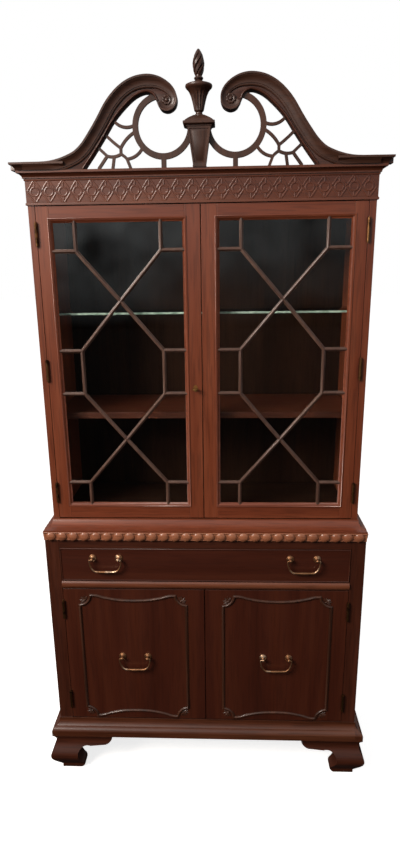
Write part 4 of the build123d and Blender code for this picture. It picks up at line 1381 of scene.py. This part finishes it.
@dataclass
class Studio:
    """A pale floor, soft light from the left and above, and the camera."""

    eye: tuple[float, float, float] = (0.063, -1.802, 1.624)    # metres
    lens: float = 24.94
    film: float = 36.0
    down: float = 15.58             # how far the camera looks down, in degrees
    aside: float = 2.45             # and towards the left
    roll: float = -0.77
    floor_side: float = 60.0        # metres
    floor_glow: float = 0.75
    card_size: tuple[float, float] = (3.4, 1.3)     # metres
    card_at: tuple[float, float, float] = (-100.0, -2700.0, 1850.0)     # millimetres
    card_glow: float = 1.5
    rays_that_see: float = 2.5      # a ray that is further down its path than this doesn't see the floor
    lamps: tuple[Lamp, ...] = (
        Lamp("key", (-2.5, -2.5, 3.2), (0, 0, 1.6), (1.6, 1.6), 146, "#fff4ea"),
        Lamp("fill", (2.4, -2.6, 1.9), (0, 0, 1.2), (1.6, 2.0), 3, "#eef2ff"),
    )

    def camera(self) -> None:
        """Set up the camera."""
        data = bpy.data.cameras.new("camera")
        data.lens = self.lens
        data.sensor_width = self.film
        camera = bpy.data.objects.new("camera", data)
        bpy.context.scene.collection.objects.link(camera)
        yaw, pitch, roll = (math.radians(angle) for angle in (self.aside, self.down, self.roll))
        level = Vector((math.cos(yaw), math.sin(yaw), 0))
        ahead = Vector((-math.sin(yaw), math.cos(yaw), 0)) * math.cos(pitch) - Vector((0, 0, math.sin(pitch)))
        up = level.cross(ahead)
        right = level * math.cos(roll) + up * math.sin(roll)
        top = up * math.cos(roll) - level * math.sin(roll)
        pose = Matrix((right, top, -ahead)).transposed().to_4x4()
        pose.translation = Vector(self.eye)
        camera.matrix_world = pose
        bpy.context.scene.camera = camera

    def floor(self) -> None:
        """Lay the floor: a slab with its far edges well out of sight, almost white and dull."""
        bpy.ops.object.select_all(action="DESELECT")
        bpy.ops.mesh.primitive_plane_add(size=self.floor_side, location=(0, 0, 0))
        slab = bpy.context.object
        with editing(slab):
            bpy.ops.mesh.select_all(action="SELECT")
            bpy.ops.mesh.extrude_region_move(TRANSFORM_OT_translate={"value": (0, 0, -0.02)})
        named(close_up(slab), "floor")
        material, tree, out = fresh("matt_white_floor")
        mottle = add(tree, "TexNoise", {"Vector": add(tree, "TexCoord").outputs["Object"], "Scale": 3.0})
        colour = ramp(tree, mottle, [(0.3, linear("#f4f3f1")), (0.7, linear("#fbfaf9"))])
        shader = add(tree, "BsdfPrincipled", {
            "Base Color": colour, "Roughness": 0.9, "Emission Color": linear("#ffffff"),
            "Emission Strength": self.floor_glow,
        })
        # rays that went to and fro inside a pane don't see the floor, so no haze lies on the panes
        depth = add(tree, "LightPath").outputs["Ray Depth"]
        direct = add(tree, "Math", {0: depth, 1: self.rays_that_see}, operation="LESS_THAN")
        unlit = add(tree, "Emission", {"Strength": 0.0})
        mixed = add(tree, "MixShader", {0: direct, 1: unlit, 2: shader})
        tree.links.new(mixed.outputs[0], out.inputs["Surface"])
        slab.data.materials.append(material)
        slab.visible_diffuse = False
        slab.visible_glossy = False

    def surroundings(self) -> None:
        """Light the room: white where it is seen, and for the object bright above and dim below."""
        world = bpy.data.worlds.new("studio")
        bpy.context.scene.world = world
        world.use_nodes = True
        tree = world.node_tree
        tree.nodes.clear()
        height = add(tree, "SeparateXYZ", {"Vector": add(tree, "TexCoord").outputs["Generated"]}).outputs["Z"]
        share = add(tree, "MapRange", {"Value": height, "From Min": -0.35, "From Max": 0.8})
        glow = ramp(tree, share.outputs["Result"], [(0.0, 0.02), (0.32, 0.07), (0.55, 0.5), (1.0, 0.9)])
        lit = add(tree, "Background", {"Color": glow, "Strength": 0.5})
        seen = add(tree, "Background", {"Color": (1, 1, 1, 1), "Strength": 1.0})
        straight = add(tree, "LightPath").outputs["Is Camera Ray"]
        mixed = add(tree, "MixShader", {0: straight, 1: lit, 2: seen})
        tree.links.new(mixed.outputs[0], add(tree, "OutputWorld").inputs["Surface"])

    def window(self) -> None:
        """Hang a dim, soft-edged card that the upper panes mirror, as they would mirror a window."""
        bpy.ops.object.select_all(action="DESELECT")
        bpy.ops.mesh.primitive_plane_add(size=1, location=(0, 0, 0))
        card = bpy.context.object
        card.scale = (*self.card_size, 1)
        set_down(card, turn=(90, 0, 0))
        set_down(card, self.card_at)
        with editing(card):
            bpy.ops.mesh.select_all(action="SELECT")
            bpy.ops.mesh.flip_normals()
        named(card, "window_card")
        material, tree, out = fresh("window_light")
        place = add(tree, "TexCoord").outputs["Object"]
        cloud = add(tree, "TexNoise", {"Vector": place, "Scale": 2.6, "Detail": 2.0})
        patches = ramp(tree, cloud, [(0.3, 0.1), (0.62, 1.0)])
        axes = add(tree, "SeparateXYZ", {"Vector": place})
        across = add(tree, "MapRange", {
            "Value": axes.outputs["X"], "From Min": -1.2, "From Max": 1.3, "To Min": 1.0, "To Max": 0.25,
        })
        up = add(tree, "MapRange", {"Value": axes.outputs["Z"], "From Min": 1.2, "From Max": 1.9})
        strength = across
        for share in (up, patches, self.card_glow):
            strength = add(tree, "Math", {0: strength, 1: share}, operation="MULTIPLY")
        light = add(tree, "Emission", {"Color": linear("#e8eeee"), "Strength": strength})
        tree.links.new(light.outputs[0], out.inputs["Surface"])
        card.data.materials.append(material)
        card.visible_camera = card.visible_diffuse = card.visible_shadow = card.visible_transmission = False

    def build(self) -> None:
        """Set up the whole studio."""
        self.camera()
        self.window()
        self.floor()
        self.surroundings()
        for lamp in self.lamps:
            lamp.hang()
        bpy.context.scene.view_settings.view_transform = "Standard"


def main() -> None:
    """Build the cabinet's looks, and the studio."""
    logging.basicConfig(level=logging.INFO, format="%(name)s: %(message)s")
    BaseCase().build()
    for side in (-1, 1):
        CupboardDoor(side).build()
        GlazedDoor(side).build()
    Drawer().build()
    FretFrieze().build()
    Pediment().build()
    GlassShelf().build()
    FrameFinish().build()
    Studio().build()


if __name__ == "__main__":
    main()
